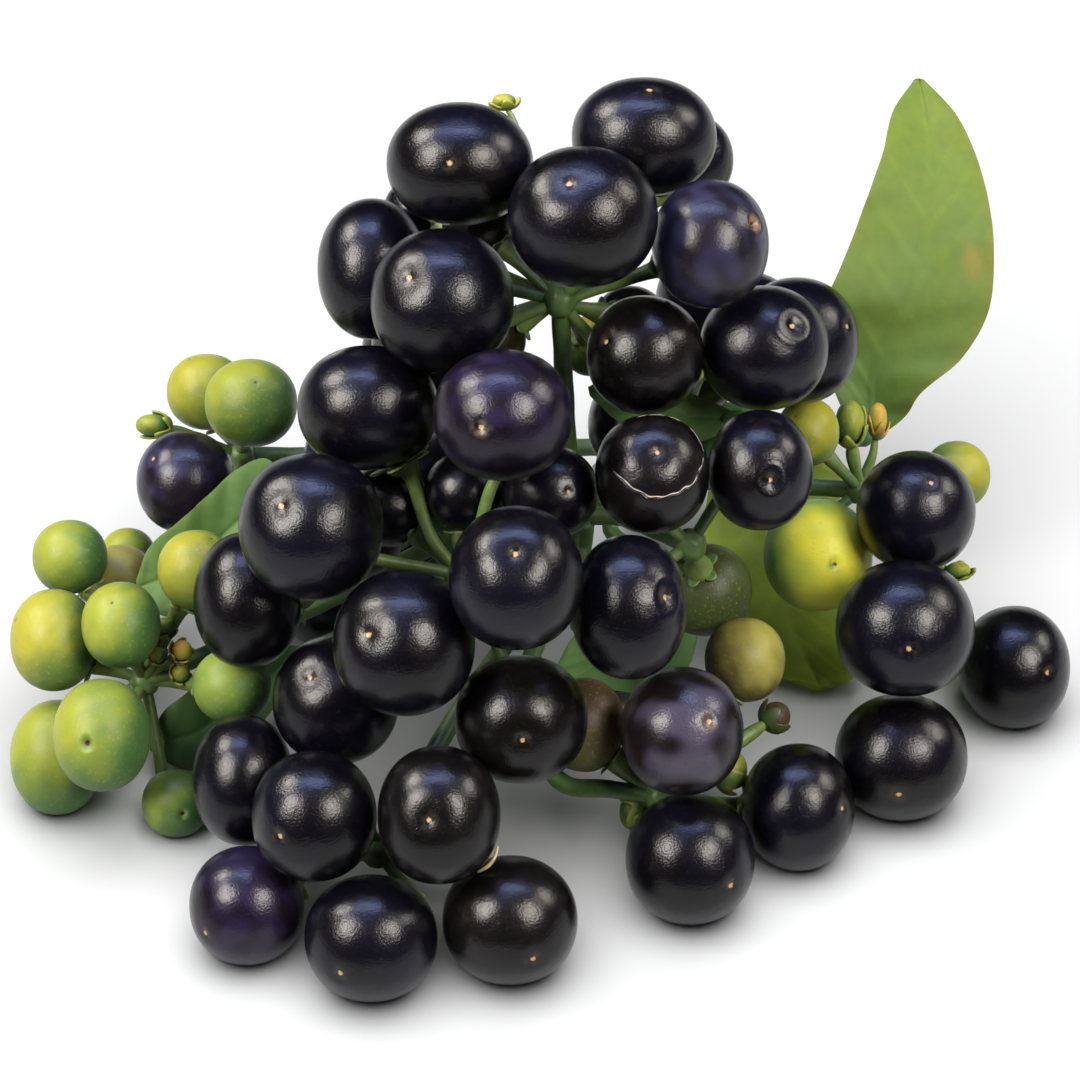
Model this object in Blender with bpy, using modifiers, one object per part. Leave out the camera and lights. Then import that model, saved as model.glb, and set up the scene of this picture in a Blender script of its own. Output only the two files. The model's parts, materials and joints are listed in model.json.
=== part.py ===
"""A cut bunch of garden huckleberries lying on a table: umbels of round berries, a cut stem and six leaves.

Places were read off a picture of the bunch: "right" and "down" are pixels of its 1080 x 1080 frame, and "toward" is
how far a point lies from the pivot toward the eye, in metres. seen() turns the three into a place in the bunch.
"""
import math
from collections import namedtuple

import bmesh
import bpy
import numpy as np
from mathutils import Matrix, Vector

# Driving sizes, in metres
FRAME_WIDTH = 0.1187
EYE_DISTANCE = 0.450
LOOK_DOWN = math.radians(40.0)
PIVOT = Vector((-0.0007, -0.0224, 0.0405))
BERRY_GAP = 0.00035
CLEARANCE = 0.0009
FLAT_DEPTH = 0.0004
PEDICEL_RADIUS = 0.0008
PEDICEL_TURN = 0.006
CALYX_RADIUS = 0.0027
CALYX_LENGTH = 0.0022
CALYX_LIFT = 0.0001
CALYX_SINK = 0.0009
PEDUNCLE_RADIUS = 0.0012
HUB_RADIUS = 0.0019
STEM_RADIUS = 0.0024
STALK_GAP = 0.0009
FORK_RUN = 0.005
BLADE_THICKNESS = 0.0008
BLADE_FOLD = 0.0012
BLADE_WAVE = 0.0006
PETIOLE_RADIUS = 0.0010
FULL_FOLD_WIDTH = 0.005

# Shares and counts
CALYX_NECK = 1.5
CALYX_FOOT = 0.7
CALYX_SHARE = 0.45
PEDUNCLE_FLARE = 1.1
WAVE_STEP = 2.1
NEAR_ENOUGH = 1.3
FLATTEST = 0.05
SHARP_ANGLE = math.radians(50.0)
TABLE_SIDE = 0.3

# The picture's frame
FRAME_PIXELS = 1080.0
MIDDLE = FRAME_PIXELS / 2
FOCAL_PIXELS = FRAME_PIXELS * EYE_DISTANCE / FRAME_WIDTH
ACROSS = Vector((1.0, 0.0, 0.0))
UP = Vector((0.0, math.sin(LOOK_DOWN), math.cos(LOOK_DOWN)))
TOWARD = Vector((0.0, -math.cos(LOOK_DOWN), math.sin(LOOK_DOWN)))

# Fineness of the meshes
BERRY_FACES = (10, 6)
COARSE_FACES = (8, 5)
SMALL_FACES = (6, 4)
COARSE = 45
BLADE_CELLS = 4
BERRY_SWELL = 1.02
STALK_SIDES = 4
STEM_SIDES = 8
ROUTE_STEP = 0.006
SETTLE_ROUNDS = 120
CLEAR_ROUNDS = 40

FLOOR = None
HIDDEN = None
UNSEEN = "unseen"
SMALL = 25
Berry = namedtuple("Berry", "right down wide tall toward scar")
Umbel = namedtuple("Umbel", "name skin hub route fork berries")
Fork = namedtuple("Fork", "along leaving")
Leaf = namedtuple("Leaf", "name rows stalk_route fork")

LEFT = Vector((-1.0, 0.0, 0.0))
RIGHT = Vector((1.0, 0.0, 0.0))
ABOVE = Vector((0.0, 0.0, 1.0))
BELOW = Vector((0.0, 0.0, -1.0))

STEM_ROUTE = [
    (557, 520, -0.022),
    (580, 497, -0.034),
    (606, 472, -0.046),
    (638, 452, -0.060),
    (662, 440, -0.0755),
]

UMBELS = [
    Umbel(
        "umbel_top", "ripe_skin", (560, 302, -0.007),
        [(562, 345, -0.007), (566, 404, -0.009), (566, 455, -0.014)],
        Fork(0.02, ABOVE),
        [
            Berry(460, 164, 73, 61, 0.000, (451, 169)),
            Berry(644, 137, 72, 59, -0.004, (648, 96)),
            Berry(688, 160, 45, 46, -0.016, HIDDEN),
            Berry(583, 217, 75, 70, 0.006, (568, 188)),
            Berry(710, 244, 58, 64, 0.000, (752, 227)),
            Berry(372, 269, 54, 70, -0.011, HIDDEN),
            Berry(442, 301, 71, 72, 0.001, (410, 281)),
            Berry(645, 355, 58, 59, -0.003, (606, 344)),
            Berry(478, 222, 36, 36, -0.009, UNSEEN),
            Berry(630, 322, 36, 36, -0.014, UNSEEN),
            Berry(488, 338, 38, 38, -0.010, UNSEEN),
            Berry(430, 340, 58, 58, -0.022, UNSEEN),
            Berry(412, 208, 36, 36, -0.018, UNSEEN),
            Berry(504, 101, 13, 8, -0.004, HIDDEN),
            Berry(590, 346, 27, 30, -0.025, HIDDEN),
        ],
    ),
    Umbel(
        "umbel_middle", "ripe_skin", (462, 575, -0.010),
        [(490, 560, -0.016)],
        Fork(0.04, LEFT),
        [
            Berry(368, 408, 70, 62, -0.004, HIDDEN),
            Berry(503, 415, 69, 66, 0.007, (482, 429)),
            Berry(550, 492, 48, 46, -0.005, (568, 492)),
            Berry(311, 527, 72, 73, 0.002, (284, 506)),
            Berry(248, 600, 54, 68, -0.009, HIDDEN),
            Berry(516, 578, 67, 72, 0.007, (516, 553)),
            Berry(404, 643, 71, 73, 0.003, (370, 633)),
            Berry(336, 700, 63, 64, -0.007, (312, 675)),
            Berry(521, 719, 66, 64, -0.001, (523, 738)),
            Berry(465, 492, 40, 40, -0.008, UNSEEN),
            Berry(388, 505, 42, 42, -0.010, UNSEEN),
        ],
    ),
    Umbel(
        "umbel_inner_right", "ripe_skin", (690, 545, -0.014),
        [(650, 540, -0.020)],
        Fork(0.06, RIGHT),
        [
            Berry(652, 474, 57, 60, -0.002, (656, 453)),
            Berry(760, 470, 52, 60, -0.004, (768, 481)),
            Berry(629, 607, 58, 72, 0.000, (665, 596)),
            Berry(706, 590, 46, 46, -0.020, UNSEEN),
        ],
    ),
    Umbel(
        "umbel_front", "ripe_skin", (378, 852, -0.010),
        [(382, 795, -0.010), (402, 742, -0.014), (436, 672, -0.019)],
        Fork(0.14, BELOW),
        [
            Berry(243, 780, 50, 65, -0.010, HIDDEN),
            Berry(314, 816, 62, 65, 0.000, (284, 832)),
            Berry(439, 815, 61, 69, 0.003, (430, 816)),
            Berry(247, 905, 57, 59, FLOOR, (209, 929)),
            Berry(371, 938, 66, 63, FLOOR, (343, 967)),
            Berry(510, 920, 67, 64, FLOOR, (533, 953)),
        ],
    ),
    Umbel(
        "umbel_right", "ripe_skin", (660, 797, -0.013),
        [(622, 786, -0.013), (526, 784, -0.013), (500, 730, -0.018), (530, 640, -0.024)],
        Fork(0.28, BELOW),
        [
            Berry(690, 859, 64, 65, FLOOR, (728, 881)),
            Berry(682, 731, 61, 64, -0.008, (707, 719)),
            Berry(798, 807, 56, 63, FLOOR, (839, 806)),
            Berry(745, 660, 40, 42, -0.018, HIDDEN),
            Berry(585, 725, 40, 47, -0.013, HIDDEN),
            Berry(632, 812, 14, 20, -0.014, HIDDEN),
            Berry(731, 770, 18, 22, -0.017, HIDDEN),
            Berry(776, 716, 16, 16, -0.020, HIDDEN),
        ],
    ),
    Umbel(
        "umbel_far_right", "ripe_skin", (950, 625, -0.038),
        [(885, 622, -0.045), (790, 590, -0.052)],
        Fork(0.74, RIGHT),
        [
            Berry(901, 757, 66, 63, FLOOR, (894, 791)),
            Berry(905, 628, 69, 68, -0.019, (903, 647)),
            Berry(1014, 667, 55, 61, FLOOR, (1041, 671)),
            Berry(916, 511, 59, 60, -0.025, (926, 484)),
            Berry(958, 570, 14, 9, -0.030, HIDDEN),
        ],
    ),
    Umbel(
        "umbel_green_left", "unripe_skin", (145, 680, -0.027),
        [(250, 655, -0.029), (380, 600, -0.032)],
        Fork(0.26, LEFT),
        [
            Berry(70, 557, 37, 37, -0.026, HIDDEN),
            Berry(54, 640, 43, 51, -0.024, HIDDEN),
            Berry(121, 625, 39, 43, -0.018, HIDDEN),
            Berry(120, 580, 35, 35, -0.032, HIDDEN),
            Berry(128, 555, 27, 27, -0.039, HIDDEN),
            Berry(197, 570, 39, 40, -0.017, HIDDEN),
            Berry(102, 735, 48, 56, -0.015, (92, 741)),
            Berry(57, 757, 46, 57, FLOOR, HIDDEN),
            Berry(176, 803, 34, 34, FLOOR, (186, 812)),
            Berry(232, 686, 39, 37, -0.017, HIDDEN),
            Berry(165, 627, 11, 11, -0.020, HIDDEN),
            Berry(158, 655, 9, 9, -0.020, HIDDEN),
            Berry(182, 650, 11, 11, -0.020, HIDDEN),
            Berry(181, 673, 10, 10, -0.020, HIDDEN),
        ],
    ),
    Umbel(
        "umbel_upper_left", "unripe_skin", (240, 455, -0.050),
        [(275, 478, -0.056), (340, 478, -0.062), (460, 445, -0.066), (560, 445, -0.064)],
        Fork(0.86, LEFT),
        [
            Berry(186, 482, 49, 51, -0.034, (157, 460)),
            Berry(207, 392, 40, 38, -0.046, HIDDEN),
            Berry(251, 403, 46, 44, -0.038, HIDDEN),
            Berry(152, 425, 18, 12, -0.042, HIDDEN),
        ],
    ),
    Umbel(
        "umbel_green_right", "unripe_skin", (860, 490, -0.042),
        [(800, 480, -0.0435), (730, 480, -0.045)],
        Fork(0.50, RIGHT),
        [
            Berry(818, 555, 54, 56, -0.030, (831, 564)),
            Berry(808, 432, 31, 34, -0.030, HIDDEN),
            Berry(957, 475, 33, 34, -0.035, HIDDEN),
            Berry(850, 422, 16, 24, -0.036, HIDDEN),
            Berry(878, 419, 10, 18, -0.040, HIDDEN),
        ],
    ),
    Umbel(
        "umbel_back_right", "ripe_skin", (712, 365, -0.030),
        [(675, 400, -0.040)],
        Fork(0.44, ABOVE),
        [
            Berry(764, 348, 64, 62, -0.007, (790, 328)),
            Berry(797, 341, 61, 63, -0.021, HIDDEN),
            Berry(704, 300, 48, 48, -0.026, UNSEEN),
            Berry(642, 425, 54, 54, -0.028, UNSEEN),
            Berry(745, 330, 58, 58, -0.038, UNSEEN),
            Berry(690, 355, 58, 58, -0.050, UNSEEN),
        ],
    ),
    Umbel(
        "umbel_back_left", "ripe_skin", (450, 440, -0.040),
        [(510, 460, -0.042)],
        Fork(0.50, LEFT),
        [
            Berry(455, 455, 56, 56, -0.024, UNSEEN),
            Berry(350, 525, 56, 56, -0.024, UNSEEN),
            Berry(414, 352, 52, 52, -0.040, UNSEEN),
            Berry(362, 460, 58, 58, -0.036, UNSEEN),
            Berry(333, 590, 58, 58, FLOOR, UNSEEN),
            Berry(442, 530, 58, 58, FLOOR, UNSEEN),
        ],
    ),
]


# Each row of a leaf gives its two edges, from the tip to the base, and how far toward the eye it lies
LEAVES = [
    Leaf(
        "leaf_tall_right",
        [
            (914, 80, 924, 80, -0.056),
            (893, 111, 956, 114, -0.054),
            (883, 152, 977, 158, -0.052),
            (867, 198, 989, 203, -0.050),
            (850, 244, 994, 250, -0.049),
            (822, 284, 989, 310, -0.048),
            (815, 318, 962, 358, -0.049),
            (824, 355, 922, 392, -0.050),
            (836, 395, 905, 417, -0.051),
            (855, 438, 875, 440, -0.052),
        ],
        [(810, 470, -0.058)],
        Fork(0.84, ABOVE),
    ),
    Leaf(
        "leaf_low_right",
        [
            (815, 688, 825, 688, -0.0375),
            (778, 676, 852, 679, -0.0385),
            (738, 640, 860, 645, -0.041),
            (714, 595, 856, 600, -0.044),
            (705, 550, 842, 556, -0.047),
            (706, 505, 838, 512, -0.0495),
            (716, 460, 836, 472, -0.0515),
            (736, 428, 748, 428, -0.053),
        ],
        [(700, 435, -0.056)],
        Fork(0.66, RIGHT),
    ),
    Leaf(
        "leaf_left",
        [
            (136, 580, 140, 594, -0.0265),
            (150, 546, 163, 616, -0.0258),
            (178, 522, 195, 610, -0.025),
            (206, 497, 225, 588, -0.0245),
            (236, 470, 250, 566, -0.024),
            (268, 459, 275, 540, -0.023),
            (292, 490, 292, 502, -0.022),
        ],
        [(335, 520, -0.016), (420, 545, -0.018)],
        Fork(0.14, LEFT),
    ),
    Leaf(
        "leaf_centre",
        [
            (588, 387, 590, 396, -0.0155),
            (604, 380, 607, 412, -0.0155),
            (630, 384, 634, 432, -0.0158),
            (668, 388, 672, 442, -0.016),
            (704, 398, 706, 440, -0.0165),
            (738, 414, 739, 424, -0.017),
        ],
        [(735, 470, -0.018), (670, 508, -0.021)],
        Fork(0.12, RIGHT),
    ),
    Leaf(
        "leaf_under_left",
        [
            (150, 742, 152, 752, -0.0300),
            (163, 712, 178, 768, -0.0290),
            (188, 692, 206, 770, -0.0292),
            (214, 670, 238, 748, -0.0310),
            (244, 654, 268, 716, -0.0340),
            (276, 645, 288, 684, -0.0370),
            (304, 646, 305, 656, -0.0395),
        ],
        [(340, 652, -0.0410), (420, 590, -0.0400)],
        Fork(0.36, LEFT),
    ),
    Leaf(
        "leaf_under_middle",
        [
            (556, 668, 562, 676, -0.0350),
            (574, 636, 606, 688, -0.0360),
            (606, 622, 640, 694, -0.0370),
            (642, 612, 668, 690, -0.0385),
            (676, 606, 690, 664, -0.0400),
            (700, 606, 702, 616, -0.0415),
        ],
        [(700, 560, -0.0430), (670, 520, -0.0440)],
        Fork(0.56, BELOW),
    ),
]


def metres_per_pixel(toward):
    return (EYE_DISTANCE - toward) / FOCAL_PIXELS


def seen(right, down, toward):
    """The place of a pixel of the picture that lies so far toward the eye."""
    scale = metres_per_pixel(toward)
    return PIVOT + ACROSS * (right - MIDDLE) * scale + UP * (MIDDLE - down) * scale + TOWARD * toward


def resting_toward(berry):
    """How far toward the eye a berry lies when its lowest point is FLAT_DEPTH under the table's surface."""
    deep = (berry.wide + berry.tall) / 2
    half = math.hypot(berry.tall * math.cos(LOOK_DOWN), deep * math.sin(LOOK_DOWN))
    reach = PIVOT.z + EYE_DISTANCE * math.sin(LOOK_DOWN) + FLAT_DEPTH
    span = FOCAL_PIXELS * math.sin(LOOK_DOWN) + half - math.cos(LOOK_DOWN) * (MIDDLE - berry.down)
    return EYE_DISTANCE - FOCAL_PIXELS * reach / span


def half_axes(berry, toward):
    """A berry's half sizes across, up and toward the eye."""
    sizes = (berry.wide, berry.tall, (berry.wide + berry.tall) / 2)
    return np.array(sizes) * metres_per_pixel(toward) * BERRY_SWELL


def picture_place(berry, toward):
    """A berry's centre measured across, up and toward the eye from the pivot."""
    scale = metres_per_pixel(toward)
    return np.array([(berry.right - MIDDLE) * scale, (MIDDLE - berry.down) * scale, toward])


def slide_needed(first, second, first_toward, second_toward):
    """How much farther apart along the line of sight two berries have to be, to leave the gap between them."""
    between = picture_place(first, first_toward) - picture_place(second, second_toward)
    direction = between / np.linalg.norm(between)
    reach = np.linalg.norm(half_axes(first, first_toward) * direction)
    reach += np.linalg.norm(half_axes(second, second_toward) * direction) + BERRY_GAP
    aside = math.hypot(between[0], between[1])
    if aside >= reach:
        return 0.0
    return max(0.0, math.sqrt(reach * reach - aside * aside) - abs(between[2]))


def settle(berries):
    """Slides the berries along the line of sight until none touch, keeping which one lies in front."""
    resting = [resting_toward(berry) for berry in berries]
    free = [berry.toward is not FLOOR for berry in berries]
    yielding = [berry.scar is UNSEEN or berry.wide < SMALL for berry in berries]
    toward = [berry.toward if free[i] else resting[i] for i, berry in enumerate(berries)]
    reach = [max(berry.wide, berry.tall) * BERRY_SWELL * NEAR_ENOUGH for berry in berries]
    pairs = []
    for i, first in enumerate(berries):
        for j in range(i + 1, len(berries)):
            second = berries[j]
            if math.hypot(first.right - second.right, first.down - second.down) < reach[i] + reach[j]:
                pairs.append((i, j) if toward[i] >= toward[j] else (j, i))
    for _ in range(SETTLE_ROUNDS):
        for front, behind in pairs:
            slide = slide_needed(berries[front], berries[behind], toward[front], toward[behind])
            if slide == 0.0:
                continue
            share = 0.5 if free[behind] else 1.0
            if yielding[front] != yielding[behind]:
                share = 1.0 if yielding[front] else 0.0
            if not free[front]:
                share = 0.0
            toward[front] += slide * share
            if free[behind]:
                toward[behind] = max(toward[behind] - slide * (1.0 - share), resting[behind])
    return toward


def scar_direction(berry, toward, hub):
    """The unit direction of a berry's scar in its own round shape, across, up and toward the eye."""
    if berry.scar not in (HIDDEN, UNSEEN):
        across = (berry.scar[0] - berry.right) / berry.wide
        up = (berry.down - berry.scar[1]) / berry.tall
        return np.array([across, up, math.sqrt(max(FLATTEST, 1.0 - across * across - up * up))])
    away = picture_place(berry, toward) - hub
    return away / np.linalg.norm(away)


def to_space(measured):
    """The direction or offset of a measure across, up and toward the eye."""
    return ACROSS * measured[0] + UP * measured[1] + TOWARD * measured[2]


def resample(points, count=None):
    """Evenly spaced points along a chain of straight steps."""
    points = np.array(points, dtype=float)
    steps = np.linalg.norm(np.diff(points, axis=0), axis=1)
    along = np.concatenate([[0.0], np.cumsum(steps)])
    count = count or max(3, 1 + round(along[-1] / ROUTE_STEP))
    wanted = np.linspace(0.0, along[-1], count)
    return np.stack([np.interp(wanted, along, points[:, axis]) for axis in range(3)], axis=1)


def cleared(points, radius, balls):
    """Bends a stalk's inner points clear of the berries and the table, and smooths it."""
    points = np.array(points, dtype=float)
    frame = np.array([list(ACROSS), list(UP), list(TOWARD)])
    for _ in range(CLEAR_ROUNDS):
        points[1:-1] += 0.25 * (points[:-2] + points[2:] - 2.0 * points[1:-1])
        for centre, axes in balls:
            room = axes + radius + CLEARANCE
            offset = (points[1:-1] - centre) @ frame.T / room
            depth = np.linalg.norm(offset, axis=1)
            inside = depth < 1.0
            pushed = offset[inside] / depth[inside, None] * room
            points[1:-1][inside] = centre + pushed @ frame
        points[1:-1, 2] = np.maximum(points[1:-1, 2], radius * 1.1)
    return points


def material(name, colour, roughness):
    made = bpy.data.materials.new(name)
    made.use_nodes = True
    shader = made.node_tree.nodes["Principled BSDF"]
    shader.inputs["Base Color"].default_value = (*colour, 1.0)
    shader.inputs["Roughness"].default_value = roughness
    shader.inputs["Metallic"].default_value = 0.0
    return made


def mesh_object(name, mesh, collection):
    made = bpy.data.objects.new(name, mesh)
    collection.objects.link(made)
    return made


def ring_guide(name, sides, guides):
    """A flat ring of straight sides, one metre in radius, that a stalk is drawn along."""
    curve = bpy.data.curves.new(name, "CURVE")
    curve.dimensions = "2D"
    spline = curve.splines.new("POLY")
    spline.points.add(sides - 1)
    for number, point in enumerate(spline.points):
        angle = 2.0 * math.pi * number / sides
        point.co = (math.cos(angle), math.sin(angle), 0.0, 1.0)
    spline.use_cyclic_u = True
    guide = bpy.data.objects.new(name, curve)
    guide.hide_render = True
    guide.display_type = "WIRE"
    guides.objects.link(guide)
    return guide


def stalk(name, points, radii, guide, collection):
    """A tapering stalk through the points, as a closed mesh."""
    curve = bpy.data.curves.new(name, "CURVE")
    curve.dimensions = "3D"
    curve.bevel_mode = "OBJECT"
    curve.bevel_object = guide
    curve.use_fill_caps = True
    spline = curve.splines.new("POLY")
    spline.points.add(len(points) - 1)
    for point, place, radius in zip(spline.points, points, radii):
        point.co = (*place, 1.0)
        point.radius = radius
    drawn = bpy.data.objects.new(name, curve)
    collection.objects.link(drawn)
    graph = bpy.context.evaluated_depsgraph_get()
    mesh = bpy.data.meshes.new_from_object(drawn.evaluated_get(graph))
    bpy.data.objects.remove(drawn)
    shape = bmesh.new()
    shape.from_mesh(mesh)
    bmesh.ops.remove_doubles(shape, verts=shape.verts, dist=0.00001)
    bmesh.ops.recalc_face_normals(shape, faces=shape.faces)
    shape.to_mesh(mesh)
    shape.free()
    return mesh_object(name, mesh, collection)


def fineness(berry):
    """The segments and rings of a berry's ball: fewer where it is small or lies behind others."""
    if berry.wide < SMALL:
        return SMALL_FACES
    return COARSE_FACES if berry.wide < COARSE or berry.scar is UNSEEN else BERRY_FACES


def berry_mesh(name, centre, axes, scar, faces):
    """A round berry with its poles at the scar and at the stalk."""
    turn = Vector((0.0, 0.0, 1.0)).rotation_difference(Vector(scar)).to_matrix().to_4x4()
    size = Matrix.Diagonal((*axes, 1.0))
    picture = Matrix((
        (ACROSS.x, UP.x, TOWARD.x, centre[0]),
        (ACROSS.y, UP.y, TOWARD.y, centre[1]),
        (ACROSS.z, UP.z, TOWARD.z, centre[2]),
        (0.0, 0.0, 0.0, 1.0),
    ))
    shape = bmesh.new()
    bmesh.ops.create_uvsphere(
        shape, u_segments=faces[0], v_segments=faces[1], radius=1.0, matrix=picture @ size @ turn
    )
    mesh = bpy.data.meshes.new(name)
    shape.to_mesh(mesh)
    shape.free()
    return mesh


def pedicel_route(hub, centre, axes, scar, balls):
    """The path of a berry's own stalk: out of the hub, round the other berries and into the berry's base."""
    base = np.array(centre) - np.array(to_space(axes * scar))
    leaving = base - np.array(centre)
    leaving /= np.linalg.norm(leaving)
    hub = np.array(hub)
    outside = base + leaving * CALYX_LENGTH
    turning = base + leaving * min(PEDICEL_TURN, 0.5 * np.linalg.norm(outside - hub) + CLEARANCE)
    path = cleared(resample([hub, turning, outside]), PEDICEL_RADIUS, balls)
    calyx_radius = min(CALYX_RADIUS, CALYX_SHARE * min(axes))
    calyx = base + leaving * CALYX_LIFT
    sunk = base - leaving * CALYX_SINK
    points = [*path, calyx, sunk]
    radii = [PEDICEL_RADIUS] * (len(path) - 1)
    radii += [min(PEDICEL_RADIUS * CALYX_NECK, calyx_radius), calyx_radius, calyx_radius * CALYX_FOOT]
    return points, radii


def fork_points(fork, stem_points):
    """The last two points of a side stalk that meets the main stem squarely, a share of the way along it."""
    fine = resample(stem_points, 101)
    number = round(fork.along * 100)
    axis = fine[number]
    tangent = fine[min(number + 1, 100)] - fine[max(number - 1, 0)]
    tangent /= np.linalg.norm(tangent)
    leaving = np.array(fork.leaving) - tangent * np.dot(tangent, fork.leaving)
    leaving /= np.linalg.norm(leaving)
    return [axis + leaving * (STEM_RADIUS + FORK_RUN), axis + leaving * (STEM_RADIUS + STALK_GAP)]


def join(base, others, collection):
    """One solid of the base and the others."""
    pieces = bpy.data.collections.new(base.name + "_pieces")
    bpy.context.scene.collection.children.link(pieces)
    for piece in others:
        collection.objects.unlink(piece)
        pieces.objects.link(piece)
    union = base.modifiers.new("union", "BOOLEAN")
    union.operation = "UNION"
    union.operand_type = "COLLECTION"
    union.collection = pieces
    union.solver = "MANIFOLD"
    bake(base)
    for piece in others:
        bpy.data.objects.remove(piece)
    bpy.data.collections.remove(pieces)
    keep_outer_shell(made=base)


def island_of(corner):
    """Every corner that edges join to this one."""
    island = {corner}
    waiting = [corner]
    while waiting:
        for edge in waiting.pop().link_edges:
            for other in edge.verts:
                if other not in island:
                    island.add(other)
                    waiting.append(other)
    return island


def keep_outer_shell(made):
    """Fills the hollows that joining seals and drops loose scraps: only the largest shell stays."""
    shape = bmesh.new()
    shape.from_mesh(made.data)
    bmesh.ops.remove_doubles(shape, verts=shape.verts, dist=0.0000002)
    left = set(shape.verts)
    islands = []
    while left:
        islands.append(island_of(next(iter(left))))
        left -= islands[-1]
    islands.sort(key=len)
    for island in islands[:-1]:
        bmesh.ops.delete(shape, geom=list(island), context="VERTS")
    shape.to_mesh(made.data)
    shape.free()


def bake(made):
    """Applies the modifiers of an object."""
    graph = bpy.context.evaluated_depsgraph_get()
    mesh = bpy.data.meshes.new_from_object(made.evaluated_get(graph))
    made.modifiers.clear()
    made.data = mesh


def cut_flat(made, table):
    """Takes off what lies under the table's surface, which leaves the flat spots that the bunch rests on."""
    lowest = min(corner.co.z for corner in made.data.vertices)
    if lowest >= 0.0:
        return
    cut = made.modifiers.new("flat spots", "BOOLEAN")
    cut.operation = "DIFFERENCE"
    cut.object = table
    cut.solver = "EXACT"
    bake(made)


def finish(made, name, paint, table):
    cut_flat(made, table)
    made.data.name = name
    made.data.materials.clear()
    made.data.materials.append(paint)
    made.data.shade_smooth()
    made.data.set_sharp_from_angle(angle=SHARP_ANGLE)


def table_block(guides):
    """A block whose top is the table's surface."""
    shape = bmesh.new()
    place = Matrix.Translation((0.0, 0.0, -TABLE_SIDE / 2))
    bmesh.ops.create_cube(shape, size=TABLE_SIDE, matrix=place)
    mesh = bpy.data.meshes.new("table_surface")
    shape.to_mesh(mesh)
    shape.free()
    block = mesh_object("table_surface", mesh, guides)
    block.hide_render = True
    block.display_type = "WIRE"
    return block


def build_umbel(umbel, toward, balls, first, stem_points, tools):
    """One umbel: its berries on their stalks, and the side stalk from its hub to the main stem."""
    collection, guide, table, paints = tools
    hub = seen(*umbel.hub)
    hub_measured = np.array([(umbel.hub[0] - MIDDLE), (MIDDLE - umbel.hub[1]), 0.0])
    hub_measured = hub_measured * metres_per_pixel(umbel.hub[2]) + np.array([0.0, 0.0, umbel.hub[2]])
    route = [np.array(hub)] + [np.array(seen(*place)) for place in umbel.route]
    ending = fork_points(umbel.fork, stem_points)
    path = cleared(resample(route + ending[:1]), PEDUNCLE_RADIUS, balls)
    path = [*path, ending[1]]
    radii = np.linspace(PEDUNCLE_RADIUS, PEDUNCLE_RADIUS * PEDUNCLE_FLARE, len(path))
    made = stalk(umbel.name, path, radii, guide, collection)
    swelling = berry_mesh(umbel.name + "_hub", hub, [HUB_RADIUS] * 3, (0.3, 0.9, 0.3), SMALL_FACES)
    others = [mesh_object(umbel.name + "_hub", swelling, collection)]
    for number, berry in enumerate(umbel.berries):
        centre, axes = balls[first + number]
        scar = scar_direction(berry, toward[first + number], hub_measured)
        mesh = berry_mesh(umbel.name + "_berry", centre, axes, scar, fineness(berry))
        others.append(mesh_object(umbel.name + "_berry", mesh, collection))
        points, radii = pedicel_route(hub, centre, axes, scar, balls)
        others.append(stalk(umbel.name + "_stalk", points, radii, guide, collection))
    join(made, others, collection)
    finish(made, umbel.name, paints[umbel.skin], table)


def blade_place(leaf, row, across):
    """The place on a leaf's blade at a row and a share of the way across it: folded at the rib, waved at the edges."""
    left, left_down, right, right_down, toward = leaf.rows[row]
    from_rib = 2.0 * across - 1.0
    half_width = 0.5 * math.hypot(right - left, right_down - left_down) * metres_per_pixel(toward)
    narrow = min(1.0, half_width / FULL_FOLD_WIDTH)
    fold = BLADE_FOLD * abs(from_rib) * narrow
    wave = BLADE_WAVE * from_rib * math.sin(WAVE_STEP * row) * narrow
    right_now = left + (right - left) * across
    down_now = left_down + (right_down - left_down) * across
    return seen(right_now, down_now, toward + fold + wave)


def blade(leaf, collection):
    """A leaf's blade: a grid bent to its rows, split into triangles and thickened."""
    shape = bmesh.new()
    rows = len(leaf.rows) - 1
    bmesh.ops.create_grid(shape, x_segments=BLADE_CELLS, y_segments=rows, size=1.0)
    for corner in shape.verts:
        across = (corner.co.x + 1.0) / 2.0
        row = round((corner.co.y + 1.0) / 2.0 * rows)
        corner.co = blade_place(leaf, row, across)
    bmesh.ops.triangulate(shape, faces=shape.faces)
    bmesh.ops.recalc_face_normals(shape, faces=shape.faces)
    mesh = bpy.data.meshes.new(leaf.name)
    shape.to_mesh(mesh)
    shape.free()
    made = mesh_object(leaf.name, mesh, collection)
    thick = made.modifiers.new("thickness", "SOLIDIFY")
    thick.thickness = BLADE_THICKNESS
    thick.offset = 0.0
    bake(made)
    return made


def build_leaf(leaf, balls, stem_points, tools):
    """One leaf: its blade and the stalk that joins it to the main stem."""
    collection, guide, table, paints = tools
    made = blade(leaf, collection)
    last = len(leaf.rows) - 1
    inside = np.array(blade_place(leaf, last - 1, 0.5))
    base = np.array(blade_place(leaf, last, 0.5))
    ending = fork_points(leaf.fork, stem_points)
    route = [base] + [np.array(seen(*place)) for place in leaf.stalk_route] + ending[:1]
    path = cleared(resample(route), PETIOLE_RADIUS, balls)
    path = [0.5 * (inside + base), *path, ending[1]]
    petiole = stalk(leaf.name + "_stalk", path, [PETIOLE_RADIUS] * len(path), guide, collection)
    join(made, [petiole], collection)
    finish(made, leaf.name, paints["leaf"], table)


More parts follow.
